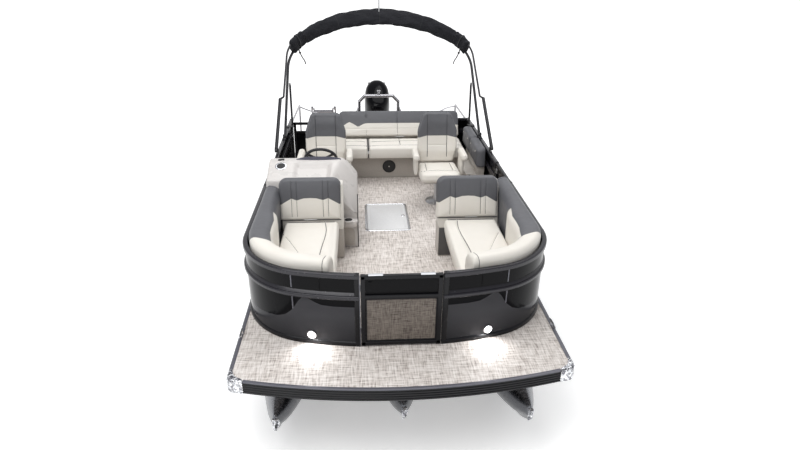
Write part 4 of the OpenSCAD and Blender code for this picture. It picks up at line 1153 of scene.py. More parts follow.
def stern_gate():
    b = Build()
    w = 0.667
    bar, _ = gate_frame(b, w, (-0.571, 4.916), (-1, 0), (0, -1), mid=False, high=0.600)
    bar(0.030, w - 0.030, 0.440, 0.474, 0.001, 0.033, 0)
    bar(0.030, w - 0.030, 0.044, 0.442, 0.010, 0.020, 1, 0.001)
    bar(0.05, 0.10, 0.56, 0.595, 0.031, 0.040, 2, 0.004)
    b.make("stern_gate_panel", ["rail", "black", "satin"], "fence_black", "stern_gate",
           "stern_gate", 32)


def docking_lights():
    b = Build()
    for sx in (-1, 1):
        s = fence_s_at_x(0.70)
        x, y, nx, ny = fence_point(s)
        p = at(sx * x, y + 0.012, 0.085)
        out = (-sx * nx, -ny, 0)
        b.lathe([(0.0, 0.003), (0.034, 0.004), (0.037, 0.009), (0.037, 0.013), (0.029, 0.015),
                 (0.028, 0.010)], p, out, 0, 40)
        b.lathe([(0.0275, 0.010), (0.025, 0.0125), (0.012, 0.0135), (0.0, 0.014)], p, out, 1, 40)
    b.make("docking_lamps", ["polished", "lens"], "lamp_white", "hull", "docking_lights", 40)


# ---------------------------------------------------------------- lounges

def lean_place(x0, y0, z0, angle):
    """Local (u along x, v up the slope, w towards the bow) to the CAD frame."""
    up = Vector((0, math.sin(angle), math.cos(angle)))
    front = Vector((0, -math.cos(angle), math.sin(angle)))
    base = at(x0, y0, z0)

    def place(u, v, w):
        return base + Vector((u, 0, 0)) + up * v + front * w
    return place


def flat_place(x0, y0):
    def place(x, y, z):
        return at(x0 + x, y0 + y, z)
    return place


PAD_FRONT = 0.555                   # x of the fence pad's forward end
PAD_AFT = {1: 2.345, -1: 2.196}     # y of its aft end, on each side


def pad_boundary(x, y):
    """Zone of the fence pad: charcoal aft of the corner, with a cream leaf on its inner side."""
    across = FENCE_X - x
    aft = y - (0.985 + 0.26 * (x - 0.98) + 0.35 * max(0.0, x - 1.20))
    leaf = across - float(np.interp(y, [0.95, 1.07, 1.20, 1.30, 1.45, 1.60],
                                    [0.27, 0.245, 0.222, 0.220, 0.222, 0.196]))
    ends = min(1.61 - y + 0.25 * (across - 0.2), y - 1.00)
    inside = min(leaf, ends)
    return min(aft, -inside) if y > 0.98 else aft


def lounge_pad(aft):
    b = Build()
    s0, s1 = fence_s_at_x(PAD_FRONT), fence_s(aft)
    total = s1 - s0
    steps = list(np.linspace(0, 0.03, 7)[:-1]) + list(np.arange(0.03, total - 0.03, 0.011)) \
        + list(np.linspace(total - 0.03, total, 7))
    rings, zone = [], []
    for d in steps:
        x, y, nx, ny = fence_point(s0 + d)
        inner = float(np.interp(y, [0.5, 0.9, 1.05, 1.25, 1.50, 1.62, 1.80, 2.2],
                                [0.232, 0.234, 0.240, 0.246, 0.244, 0.222, 0.203, 0.200]))
        high = 0.722 + 0.004 * math.sin(3.0 * d)
        ring = rounded([(0.050, 0.330), (inner, 0.330), (inner + 0.004, high - 0.03),
                        (0.050, high)], [0.015, 0.02, 0.085, 0.040], 10)
        ring = resample(ring, 72, closed=True)
        mid = ring.mean(axis=0)
        crown = 0.010 * np.clip((ring[:, 1] - 0.66) / 0.06, 0, 1) \
            * np.sin(math.pi * np.clip((ring[:, 0] - 0.05) / (inner - 0.05), 0, 1))
        end = min(d, total - d)
        scale = math.sqrt(max(0.0, 1 - (1 - min(end / 0.03, 1.0)) ** 2)) * 0.20 + 0.80
        if end < 0.001:
            scale = 0.74
        seam = sum(math.exp(-((d - q) / 0.006) ** 2) for q in (0.050, total - 0.050))
        scale *= 1 - 0.03 * min(seam, 1.0)
        pts = mid + (ring - mid) * scale
        pts[:, 1] += crown
        row = [at(x + n * nx, y + n * ny, z) for n, z in pts]
        rings.append(row)
        zone += [pad_boundary(p[0], p[1] - BOW_Y) for p in row]
    b.strip(rings, 0, zone=zone)
    for place in (0.050, total - 0.050):
        row = rings[int(np.argmin(np.abs(np.array(steps) - place)))]
        b.tube(row + row[:2], 0.0030, 1, 6, False)
    return b


def lounge_seat_outline():
    inset = 0.249
    path = []
    for s in np.linspace(0.45, FRONT_LENGTH + CORNER_LENGTH, 60):
        x, y, nx, ny = fence_point(s)
        path.append((x + nx * inset, y + ny * inset))
    path = [p for p in path if 0.545 < p[0] < 1.033]
    start, end = path[0], path[-1]
    return rounded([(0.522, 1.944), (0.522, start[1] - 0.004)] + path
                   + [(1.034, end[1] + 0.03), (1.034, 1.944)],
                   [0.03, 0.03] + [0.0] * len(path) + [0.0, 0.03], 5)


def lounge(side):
    name = SIDE_NAME[side]
    out = Build()
    # Seat with its inboard bolster
    roll_line = [(0.655, 1.945), (0.640, 1.86), (0.628, 1.72), (0.634, 1.58), (0.650, 1.43),
                 (0.662, 1.26), (0.660, 1.12), (0.645, 0.95), (0.625, 0.70), (0.618, 0.60)]
    crease = [(1.034, 1.70), (0.955, 1.54), (0.86, 1.32), (0.80, 1.18), (0.74, 1.05)]
    back_line = [(0.70, 1.83), (0.99, 1.83)]

    def puff(x, y):
        roll = np.clip((0.645 - x) / 0.11, 0, 1)
        return 0.012 * np.sin(math.pi * roll)

    seat = Cushion(lounge_seat_outline(), 0.335, 0.424, edge=0.030, crown=0.012, bulge=0.008,
                   channels=[roll_line, crease, back_line], depth=0.006, width=0.008, place=at,
                   puff=puff, around=260, rings=44)
    seat.add_to(out, 0)
    out.tube(seat.line(smooth_curve(roll_line[:-1], 6), 0.000, 90), 0.0038, 1, 8)
    out.tube(seat.line(smooth_curve(crease, 6), -0.001, 60), 0.0022, 1, 6)
    edge = [(0.53 + 0.50 * t, 1.932) for t in np.linspace(0.05, 0.95, 20)]
    out.tube(seat.line(edge, -0.002, 40), 0.0040, 1, 8)
    knuckle = [at(0.791 + t, 1.9485, 0.443) for t in (-0.06, 0.06)]
    out.tube(knuckle, 0.0028, 2, 12)
    out.sided(side).make("lounge_seat_pad_" + name, ["cream", "piping", "satin"],
                         "upholstery_cream", "lounge_seat_" + name, "lounge_seat_" + name, 50,
                         pad=PAD_FILL)

    # Backrest
    def boundary(u, v, w):
        b = np.interp(np.abs(u), [0, 0.06, 0.127, 0.150, 0.178, 0.23, 0.283],
                      [0.216, 0.213, 0.194, 0.202, 0.212, 0.182, 0.150])
        return v - b

    back = Build()
    middle, half = (0.760, 0.303) if side > 0 else (0.792, 0.297)
    outline = rounded(rect(-half, -0.012, half, 0.40), [0.02, 0.02, 0.075, 0.075], 8)
    lean = math.radians(13.6)
    slab = Cushion(outline, -0.108, -0.016, edge=0.036, crown=0.016, bulge=0.006,
                   channels=[[(s * u, 0.02), (s * u, 0.385)] for s in (-1, 1)
                             for u in (0.127, 0.178)], depth=0.005, width=0.0055,
                   place=lean_place(middle, 1.960, 0.437, lean), zone=boundary, around=260,
                   rings=44)
    slab.add_to(back, 0)
    slab.sew(back, 1, 0.0018)
    # Dark piping along the backrest's foot: painted shade of the gap between seat and back
    foot = [slab.place(u, -0.008, -0.028) for u in np.linspace(-half, half, 20)]
    back.tube(foot, 0.004, 1, 8)
    rim = resample(np.array(outline), 160, closed=True)
    path = [slab.place(u * 0.992, 0.2 + (v - 0.2) * 0.992, -0.060) for u, v in rim]
    back.tube(path + path[:2], 0.0035, 1, 8, False)
    back.sided(side).make("lounge_back_pad_" + name, ["two_tone", "piping"], "upholstery_charcoal",
                          "hull", "lounge_back_" + name, 50, pad=PAD_FILL)

    lounge_pad(PAD_AFT[side]).sided(side).make("lounge_fence_pad_" + name, ["two_tone", "piping"],
                                               "upholstery_cream", "hull", "lounge_pads_" + name,
                                               50, pad=PAD_FILL)

    # Base, skirt and the moulded shell behind the backrest
    base = Build()
    upper = rounded([(1.9605, 0.325), (2.190, 0.325), (2.190, 0.762), (2.150, 0.775),
                     (2.092, 0.752)], [0.004, 0.006, 0.014, 0.012, 0.01], 4)
    lower = rounded(rect(1.966, 0.002, 2.184, 0.322), 0.006, 3)
    base.plate([(y + BOW_Y, z + DECK_Z) for y, z in upper], 0, 0.470, 1.068, 1, 0.010)
    base.plate([(y + BOW_Y, z + DECK_Z) for y, z in lower], 0, 0.474, 1.064, 0, 0.006)
    # Dark sheet on the lower front face, under the seat's overhang: painted shade
    if side > 0:
        base.block(at(0.478, 1.9615, 0.012), at(0.632, 1.9665, 0.318), 0.002, 4)
    skirt = []
    for y in np.linspace(0.66, 1.945, 30):
        top_x, foot_x = 0.534, 0.612
        row = [(top_x, 0.328), (top_x - 0.006, 0.310)]
        row += [(top_x - 0.006 + (foot_x - top_x + 0.006) * t ** 1.25, 0.31 - 0.305 * t)
                for t in np.linspace(0.1, 1, 9)]
        row += [(foot_x + 0.02, 0.005), (foot_x + 0.02, 0.328)]
        skirt.append([at(x, y, z) for x, z in row])
    base.strip(skirt, 2)
    front = []
    for s in np.linspace(fence_s_at_x(0.64), FRONT_LENGTH + CORNER_LENGTH, 24):
        x, y, nx, ny = fence_point(s)
        front.append((min(x + nx * 0.06, 1.22), y + ny * 0.06))
    box = [(0.636, 1.955), (0.636, front[0][1])] + front + [(1.22, 1.955)]
    ring = [at(x, y, 0.0) for x, y in box]
    base.strip([[(x, y, z) for x, y, _ in ring] for z in (DECK_Z + 0.002, DECK_Z + 0.310)], 0)
    shelf = [(0.60, 1.955), (0.60, front[0][1] + 0.01)] + front + [(1.22, 1.955)]
    base.strip([[at(x, y, z) for x, y in shelf] for z in (0.311, 0.326)], 3)
    base.sided(side).make("lounge_base_" + name + "_shell",
                          ["shell", "shell_white", "cream", "plastic", "shell_painted_shade"], "seat_shell",
                          "hull", "lounge_base_" + name, 40)


# ---------------------------------------------------------------- helm

def helm_console():
    """Moulded console: rings across the boat, softened edges, a tray in its sloping top."""
    profile = rounded([(2.200, 0.003), (2.200, 0.600), (2.238, 0.745), (2.520, 0.850),
                       (2.612, 0.852), (2.798, 0.590), (2.760, 0.540), (2.600, 0.480),
                       (2.570, 0.003)], [0.01, 0.04, 0.035, 0.02, 0.025, 0.02, 0.02, 0.02, 0.01], 6)
    profile = resample(profile, 260, closed=True)
    b = Build()
    x0, x1 = -1.234, -0.331
    close = (0.0, 0.002, 0.006, 0.014)
    xs = sorted(set([x0 + d for d in close] + list(np.linspace(x0 + 0.02, x1 - 0.02, 90))
                    + [x1 - d for d in close]))
    mid = np.array((2.45, 0.40))
    rings = []
    for x in xs:
        end = min(x - x0, x1 - x)
        inset = 0.016 * (1 - math.sqrt(max(0.0, 1 - (1 - min(end / 0.016, 1)) ** 2)))
        away = profile - mid
        pts = profile - away / np.linalg.norm(away, axis=1, keepdims=True) * inset
        pts[:, 1] = np.maximum(pts[:, 1], 0.002)
        # The top falls away towards the inboard forward corner
        forward = np.clip((2.60 - pts[:, 0]) / 0.36, 0, 1)
        t = np.clip((x + 0.50 + 0.13 * forward) / (0.165 + 0.13 * forward), 0, 1)
        drop = (0.16 + 0.25 * forward) * t ** 1.5
        over = np.clip((pts[:, 1] - 0.40) / 0.345, 0, 1)
        pts[:, 1] -= drop * over
        # Tray with sloping sides, in the forward slope
        across = np.clip(min((x + 1.000) / 0.085, (-0.585 - x) / 0.060), 0, 1)
        along = np.clip(np.minimum((pts[:, 0] - 2.225) / 0.03, (2.512 - pts[:, 0]) / 0.055), 0, 1)
        soft = (across * across * (3 - 2 * across)) * (along * along * (3 - 2 * along))
        pts[:, 1] -= np.where(pts[:, 1] > 0.70, 0.042 * soft, 0)
        # Wide recess in the forward face
        across = np.clip(min(x + 1.05, -0.52 - x) / 0.04, 0, 1)
        along = np.clip(np.minimum(pts[:, 1] - 0.16, 0.50 - pts[:, 1]) / 0.03, 0, 1)
        pts[:, 0] += np.where(pts[:, 0] < 2.23, 0.010 * across * along, 0)
        rings.append([at(x, y, z) for y, z in pts])
    b.strip(rings, 0)
    # Cup holder and a small fitting on the top's outboard end
    slope = math.atan2(0.105, 0.282)
    lift = (0, -math.sin(slope), math.cos(slope))
    y, r = 2.440, 0.050
    p = at(-1.105, y, 0.745 + (y - 2.238) * 0.372 + 0.001)
    b.lathe([(r - 0.008, 0.004), (r + 0.002, 0.006), (r + 0.008, 0.003), (r + 0.009, 0.0)], p, lift,
            2, 40)
    b.lathe([(0.0, 0.0015), (r - 0.010, 0.002), (r - 0.006, 0.005)], p, lift, 1, 40)
    p = at(-1.125, 2.545, 0.851)
    b.lathe([(0.0, 0.012), (0.012, 0.011), (0.020, 0.006), (0.022, 0.0)], p, Z_AXIS, 1, 24)
    b.tube([p + Vector((0.0, 0.0, 0.006)), p + Vector((0.045, -0.004, 0.010))], 0.008, 1, 10)
    # Gauges and switches on the dash
    face = unit((0, 0.267, 0.212))
    for x, r in ((-0.86, 0.040), (-0.725, 0.046), (-0.59, 0.040)):
        p = at(x, 2.690, 0.742)
        b.lathe([(0.0, 0.004), (r - 0.006, 0.004), (r - 0.003, 0.008), (r, 0.007),
                 (r + 0.002, 0.0)], p, face, 1, 36)
    for k in range(4):
        p = at(-1.05 + 0.035 * k, 2.70, 0.727)
        b.lathe([(0.0, 0.010), (0.008, 0.009), (0.010, 0.0)], p, face, 1, 16)
    b.make("console_shell", ["console", "plastic", "polished"], "console_white", "hull",
           "helm_console", 42)

    # Ledge with its cup holder on the inboard forward corner, and the dark corner gap
    c = Build()
    ledge = rounded([(-0.545, 2.198), (-0.545, 2.125), (-0.335, 2.100), (-0.335, 2.198)],
                    [0.0, 0.05, 0.05, 0.0], 8)
    levels = [(0.80, 0.262), (0.93, 0.275), (1.0, 0.300), (1.0, 0.326), (0.97, 0.334),
              (0.90, 0.335)]
    cx, cy = -0.44, 2.19
    c.strip([[at(cx + (x - cx) * s, cy + (y - cy) * s, z) for x, y in ledge] for s, z in levels], 0)
    p = at(-0.428, 2.148, 0.3375)
    c.lathe([(0.036, 0.001), (0.044, 0.007), (0.054, 0.004), (0.056, -0.003)], p, Z_AXIS, 0, 40)
    c.lathe([(0.0, 0.001), (0.034, 0.0015), (0.039, 0.005)], p, Z_AXIS, 1, 36)
    # Taupe arch on the forward face below the ledge: painted shade of the hollow under the ledge
    arch = [(-0.515, 0.03), (-0.365, 0.03)]
    arch += [(-0.44 + 0.075 * math.cos(a), 0.17 + 0.065 * math.sin(a))
             for a in np.linspace(0, math.pi, 15)]
    c.plate([(x, z + DECK_Z) for x, z in arch], 1, 2.192 + BOW_Y, 2.2045 + BOW_Y, 3, 0.003)
    c.block(at(-0.336, 2.196, 0.004), at(-0.327, 2.206, 0.60), 0.002, 1)
    c.make("console_ledge", ["console", "plastic", "polished", "shell"], "console_white", "hull",
           None, 42)


def windscreen():
    """Low curved screen, its ends swept back and down."""
    b = Build()
    rows = []
    for t in np.linspace(-1, 1, 41):
        x = -0.7275 + 0.230 * t
        y = 2.532 + 0.020 * t * t
        high = 0.032 * (1 - 0.85 * abs(t) ** 3)
        rows.append([at(x, y, 0.8475), at(x, y + high * 0.5, 0.851 + high),
                     at(x, y + high * 0.5 + 0.005, 0.851 + high), at(x, y + 0.007, 0.8475)])
    b.strip(rows, 0)
    b.make("helm_windscreen", ["screen"], "screen_tint", "hull", "windscreen", 50)


def steering_wheel():
    """Padded rim with grips, three flat spokes and a domed hub."""
    b = Build()
    tilt = math.radians(35)
    axis = Vector((0, math.cos(tilt), math.sin(tilt)))
    centre = at(-0.725, 2.840, 0.760)
    u = Vector((1, 0, 0))
    w = axis.cross(u)
    ring = []
    for a in np.linspace(0, 2 * math.pi, 97):
        ring.append(centre + 0.1675 * (math.cos(a) * u + math.sin(a) * w))
    radii = [0.0150 + 0.0012 * math.cos(24 * a) ** 2 for a in np.linspace(0, 2 * math.pi, 97)]
    b.tube(ring, radii, 0, 16, False)
    for a in np.radians((90, 210, 330)):
        d = math.cos(a) * u + math.sin(a) * w
        e = axis.cross(d)
        rows = []
        for t in np.linspace(0, 1, 8):
            r = 0.03 + 0.128 * t
            wide = 0.022 - 0.009 * math.sin(math.pi * t)
            p = centre + d * r - axis * (0.010 * (1 - t))
            rows.append([p + e * wide * across + axis * 0.003 * up for across,
                         up in ((1, 1), (-1, 1), (-1, -1), (1, -1))])
        b.strip(rows, 0)
    b.lathe([(0.0, 0.012), (0.02, 0.011), (0.036, 0.004), (0.041, -0.006), (0.034, -0.022),
             (0.0, -0.024)], centre, axis, 0, 40)
    b.lathe([(0.020, -0.020), (0.019, -0.127)], centre, axis, 0, 28)
    b.make("helm_wheel", ["plastic", "satin"], "black_plastic", "steering_wheel", "steering_wheel",
           45)


# ---------------------------------------------------------------- captain's chairs

CHAIR_LEAN = math.radians(11.2)
CHAIR_X = {-1: -0.710, 1: 0.650}


def captains_chair(side):
    name = "companion" if side > 0 else "helm"
    cx, cy = CHAIR_X[side], 3.40
    b = Build()
    seat_outline = rounded([(-0.225, 0.18), (-0.240, -0.10), (-0.236, -0.285), (0.236, -0.285),
                            (0.240, -0.10), (0.225, 0.18)], [0.04, 0.2, 0.075, 0.075, 0.2, 0.04], 8)

    def seat_puff(x, y):
        return 0.014 * np.clip((-0.17 - y) / 0.08, 0, 1) * (1 - np.clip((-0.25 - y) / 0.05, 0, 1)) \
            + 0.022 * np.clip((np.abs(x) - 0.165) / 0.05, 0, 1) * np.clip((y + 0.15) / 0.06, 0, 1)

    seat = Cushion(seat_outline, 0.350, 0.452, edge=0.038, crown=0.014, bulge=0.008,
                   channels=[[(-0.225, -0.155), (0.225, -0.155)],
                             [(-0.158, -0.155), (-0.150, 0.16)], [(0.158, -0.155), (0.150, 0.16)],
                             [(-0.150, 0.0), (0.150, 0.0)]], depth=0.007, width=0.008,
                   place=flat_place(cx, cy), puff=seat_puff)
    seat.add_to(b, 0)
    seat.sew(b, 2, 0.0026, (3,))
    outline = rounded([(-0.205, -0.032), (0.205, -0.032), (0.238, 0.14), (0.236, 0.36),
                       (0.168, 0.566), (-0.168, 0.566), (-0.236, 0.36), (-0.238, 0.14)],
                      [0.04, 0.04, 0.15, 0.16, 0.060, 0.060, 0.16, 0.15], 8)

    def wings(p):
        p = p.copy()
        p[:, 2] += 0.050 * (np.abs(p[:, 0]) / 0.236) ** 3 * np.clip(p[:, 1] / 0.10, 0, 1)
        return p

    def boundary(u, v, w):
        return v - (0.292 - 0.020 * np.clip((np.abs(u) - 0.13) / 0.09, 0, 1))

    def back_puff(u, v):
        lumbar = np.exp(-((v - 0.09) / 0.07) ** 2)
        head = np.exp(-((v - 0.46) / 0.07) ** 2)
        return 0.012 * lumbar + 0.010 * head

    back = Cushion(outline, -0.066, -0.004, edge=0.032, crown=0.008, bulge=0.006,
                   channels=[[(-0.120, 0.03), (-0.120, 0.545)], [(0.120, 0.03), (0.120, 0.545)],
                             [(-0.120, 0.175), (0.120, 0.175)]], depth=0.006, width=0.007,
                   warp=wings, zone=boundary, puff=back_puff,
                   place=lean_place(cx, cy + 0.178, 0.487, CHAIR_LEAN), around=240, rings=40)
    back.add_to(b, 1)
    back.sew(b, 2, 0.0036, (2,))
    # Arm pads
    for s in (-1, 1):
        arm = rounded(rect(s * 0.286 - 0.036, -0.188, s * 0.286 + 0.036, 0.138), 0.030, 6)
        rest = Cushion(arm, 0.583, 0.655, edge=0.028, crown=0.007, bulge=0.004,
                       place=flat_place(cx, cy), around=90, rings=12)
        rest.add_to(b, 0)
        side_pad = rounded(rect(s * 0.278 - 0.020, -0.060, s * 0.278 + 0.020, 0.128), 0.016, 5)
        post = Cushion(side_pad, 0.366, 0.590, edge=0.016, crown=0.002, bulge=0.004,
                       place=flat_place(cx, cy), around=80, rings=8)
        post.add_to(b, 0)
    b.make(name + "_chair_cushions_soft", ["cream", "two_tone", "piping"], "upholstery_cream",
           name + "_chair", name + "_chair_cushions", 50, pad=PAD_FILL)

    f = Build()
    # Turntable, seat pan, arm brackets and the back's shell
    f.lathe(rect(0.0, 0.0, 0.060, 0.018), at(cx, cy, 0.307), Z_AXIS, 0, 40)
    pan = [(x * 0.93, y * 0.93 - 0.004) for x, y in seat_outline]
    f.strip([[at(cx + x * k, cy + y * k, z) for x, y in pan] for k,
             z in ((0.86, 0.326), (0.95, 0.330), (0.99, 0.340), (0.99, 0.352))], 1)
    shell = lean_place(cx, cy + 0.178, 0.487, CHAIR_LEAN)
    ring = [(u * 0.97, 0.27 + (v - 0.27) * 0.97) for u, v in resample(outline, 90, closed=True)]
    f.strip([[shell(u * k, 0.27 + (v - 0.27) * k,
                    w + 0.050 * (abs(u) / 0.236) ** 3 * min(max(v / 0.10, 0), 1)) for u, v in ring]
             for k, w in ((1.0, -0.0665), (1.0, -0.074), (0.96, -0.080), (0.6, -0.083))], 0)
    for s in (-1, 1):
        bracket = smooth_curve([at(cx + s * x, cy + y, z) for x, y, z in (
            (0.20, 0.10, 0.338), (0.262, 0.13, 0.345), (0.286, 0.150, 0.40), (0.290, 0.145, 0.50),
            (0.290, 0.10, 0.590), (0.290, 0.0, 0.591), (0.290, -0.12, 0.591))], 8)
        bracket = [(x - s * 0.012, y - 0.02, min(z, DECK_Z + 0.582)) for x, y, z in bracket]
        f.tube(bracket, 0.011, 1, 12, True, (1.0, 0.7))
        f.tube([at(cx + s * 0.10, cy + y, z) for y, z in ((0.16, 0.336), (0.232, 0.36),
                                                          (0.268, 0.45), (0.282, 0.56))], 0.012, 1,
               12)
    f.make(name + "_chair_frame_shell", ["plastic", "shell"], "seat_shell", name + "_chair",
           name + "_chair_frame", 45)


def pedestals():
    b = Build()
    for s in (-1, 1):
        p = at(CHAIR_X[s], 3.40, 0.0)
        b.lathe([(0.0, 0.0), (0.146, 0.0), (0.148, 0.006), (0.140, 0.012), (0.075, 0.022),
                 (0.052, 0.030), (0.044, 0.060), (0.044, 0.205), (0.050, 0.215), (0.050, 0.235),
                 (0.036, 0.242), (0.036, 0.298), (0.0, 0.298)], p, Z_AXIS, 0, 56)
        for a in turns(6):
            q = (p.x + 0.118 * math.cos(a), p.y + 0.118 * math.sin(a), p.z + 0.0152)
            b.lathe([(0.0, 0.004), (0.006, 0.003), (0.008, 0.0)], q, Z_AXIS, 1, 12)
    b.make("pedestal_columns", ["satin", "polished"], "frame_metal", "hull", "chair_pedestals", 40)


# ---------------------------------------------------------------- stern bench and quarter pads

def stern_bench():
    x0, x1 = -0.559, 1.071
    b = Build()
    parts = ((x0, -0.196), (-0.184, x1))
    # Dark filler between the two seat cushions: painted shade in the split
    b.block(at(-0.197, 4.060, 0.345), at(-0.183, 4.480, 0.484), 0.002, 2)
    for a, c in parts:
        outline = rounded(rect(a, 4.052, c, 4.489), [0.03, 0.03, 0.02, 0.02], 5)
        count = max(1, round((c - a) / 0.42))
        ups = [[(a + (c - a) * k / count, y) for y in (4.150, 4.47)] for k in range(1, count)]

        def puff(x, y):
            return 0.012 * np.exp(-((y - 4.095) / 0.035) ** 2)

        seat = Cushion(outline, 0.338, 0.484, edge=0.034, crown=0.013, bulge=0.007,
                       channels=[[(a + 0.01, 4.145), (c - 0.01, 4.145)],
                                 [(a + 0.03, 4.325), (c - 0.03, 4.325)]] + ups, depth=0.007,
                       width=0.008, place=at, puff=puff, around=260, rings=36)
        seat.add_to(b, 0)
        seat.sew(b, 2, 0.0042)
    # Catch in the split, knuckle along the aft edge
    b.block(at(-0.200, 4.046, 0.405), at(-0.180, 4.060, 0.432), 0.004, 1)
    b.tube([at(0.196, 4.4935, 0.5035), at(0.316, 4.4935, 0.5035)], 0.0028, 1, 12)
    b.make("bench_seat_pads", ["cream", "polished", "piping"], "upholstery_cream", "bench_seat",
           "bench_seat", 50, pad=PAD_FILL)

    back = Build()
    lean = math.atan2(0.150, 0.318)
    centre = (x0 - 0.020 + x1) / 2
    wide = (x1 - x0 + 0.020) / 2
    place = lean_place(centre, 4.502, 0.512, lean)
    height = 0.350

    def boundary(u, v, w):
        x = np.minimum(u + wide, wide - u)
        return v - np.interp(x, [0.0, 0.062, 0.135, 0.200, 0.260, 0.322, 0.370, 2.0],
                             [0.150, 0.151, 0.197, 0.165, 0.125, 0.164, 0.177, 0.177])

    outline = rounded(rect(-wide, 0.0, wide, height), [0.015, 0.015, 0.06, 0.06], 7)
    seams = [[(u, 0.01), (u, height - 0.01)] for u in (-wide + 0.37, -wide + 0.80, wide - 0.42)]
    slab = Cushion(outline, -0.108, -0.010, edge=0.034, crown=0.012, bulge=0.005,
                   channels=seams + [[(-wide + 0.02, 0.100), (wide - 0.02, 0.100)]], depth=0.005,
                   width=0.006, place=place, zone=boundary, around=420, rings=30)
    slab.add_to(back, 0)
    slab.sew(back, 3, 0.0020, (3,))
    # Quarter pads to port
    for y0, y1 in ((3.402, 3.915), (3.925, 4.438)):
        outline = rounded([(y0, 0.432), (y1, 0.432), (y1, 0.658), (y0 + 0.035, 0.658)],
                          [0.020, 0.020, 0.022, 0.045], 5)

        def beside(y, z, w):
            return at(1.226 - w, y, z)
        pad = Cushion(outline, 0.0, 0.112, edge=0.036, crown=0.014, bulge=0.004,
                      channels=[[((y0 + y1) / 2, 0.45), ((y0 + y1) / 2, 0.64)]], depth=0.005,
                      width=0.006, place=beside, around=160, rings=20)
        pad.add_to(back, 1)
        for y in (y0 + 0.10, y1 - 0.10):
            back.lathe([(0.0, 0.006), (0.008, 0.004), (0.010, 0.0)],
                       at(1.226 - float(pad.top(np.array(y), np.array(0.61))) + 0.002, y, 0.61),
                       (-1, 0, 0), 2, 16)
    back.make("bench_back_pads", ["two_tone", "charcoal", "shell_white", "piping"],
              "upholstery_charcoal", "hull", "bench_back", 50, pad=PAD_FILL)

    base = Build()
    base.block(at(x0, 4.236, 0.003), at(x1 + 0.002, 4.860, 0.3285), 0.010, 0)
    base.block(at(x0 + 0.004, 4.229, 0.090), at(x1 - 0.002, 4.2375, 0.3255), 0.004, 0)
    # Support behind the back
    shape = rounded([(4.652, 0.326), (4.864, 0.326), (4.864, 0.756), (4.802, 0.776)],
                    [0.0, 0.004, 0.03, 0.012], 5)
    base.plate([(y + BOW_Y, z + DECK_Z) for y, z in shape], 0, x0, x1, 1, 0.010)
    # Return along the port quarter
    base.block(at(1.001, 3.451, 0.003), at(1.234, 4.2345, 0.3285), 0.012, 0)
    base.block(at(1.131, 3.452, 0.326), at(1.234, 4.2285, 0.424), 0.010, 0)
    base.block(at(1.040, 3.4485, 0.010), at(1.060, 3.4525, 0.320), 0.0015, 2)
    base.block(at(0.994, 3.520, 0.050), at(1.003, 4.180, 0.290), 0.006, 0)
    # Speaker
    p = at(0.09, 4.2285, 0.165)
    base.lathe([(0.060, 0.004), (0.084, 0.006), (0.089, 0.003), (0.089, -0.004)], p, (0, -1, 0), 2,
               56)
    base.lathe([(0.0, -0.002), (0.018, 0.006), (0.026, -0.001), (0.055, 0.004), (0.066, 0.0065)], p,
               (0, -1, 0), 3, 56)
    # Centre cap in pale white: a real dust cap, its white a painted highlight
    base.lathe([(0.0, 0.0095), (0.007, 0.0085), (0.012, 0.003)], p, (0, -1, 0), 1, 24)
    base.make("bench_base_shell", ["shell", "shell_white", "plastic", "cone"], "seat_shell", "hull",
              "bench_base", 40)


# ---------------------------------------------------------------- bimini

MOUNT_Z = 0.690
SHOULDER = 0.6


def bow_point(pivot_y, slope, x, v, w=0.0):
    """Point of a bow's plane: x across, v up the legs, w off the plane."""
    c, s = math.cos(slope), math.sin(slope)
    return at(x, pivot_y + v * c - w * s, MOUNT_Z + v * s + w * c)


def bow_curve(pivot_y, slope, half, leg, radius, swing, end, t):
    """Point at t (-1 to 1) from one shoulder over the crown to the other."""
    share = 0.70
    side = 1 if t >= 0 else -1
    t = abs(t)
    drop = radius * math.cos(math.radians(swing))
    rise_centre = leg + SHOULDER * math.sin(math.radians(90 - swing)) - drop
    if t <= share:
        a = math.radians(swing * t / share)
        x, v = radius * math.sin(a), rise_centre + radius * math.cos(a)
    else:
        a = math.radians((90 - swing) + (end - (90 - swing)) * (t - share) / (1 - share))
        x, v = half - SHOULDER + SHOULDER * math.cos(a), leg + SHOULDER * math.sin(a)
    return bow_point(pivot_y, slope, side * x, v)


MAIN_BOW = (3.930, math.radians(41), 1.239, 1.070, 1.7336, 34.56, 27)
FRONT_BOW = (3.350, math.radians(33), 1.238, 1.580, 1.4032, 50.75, 20)


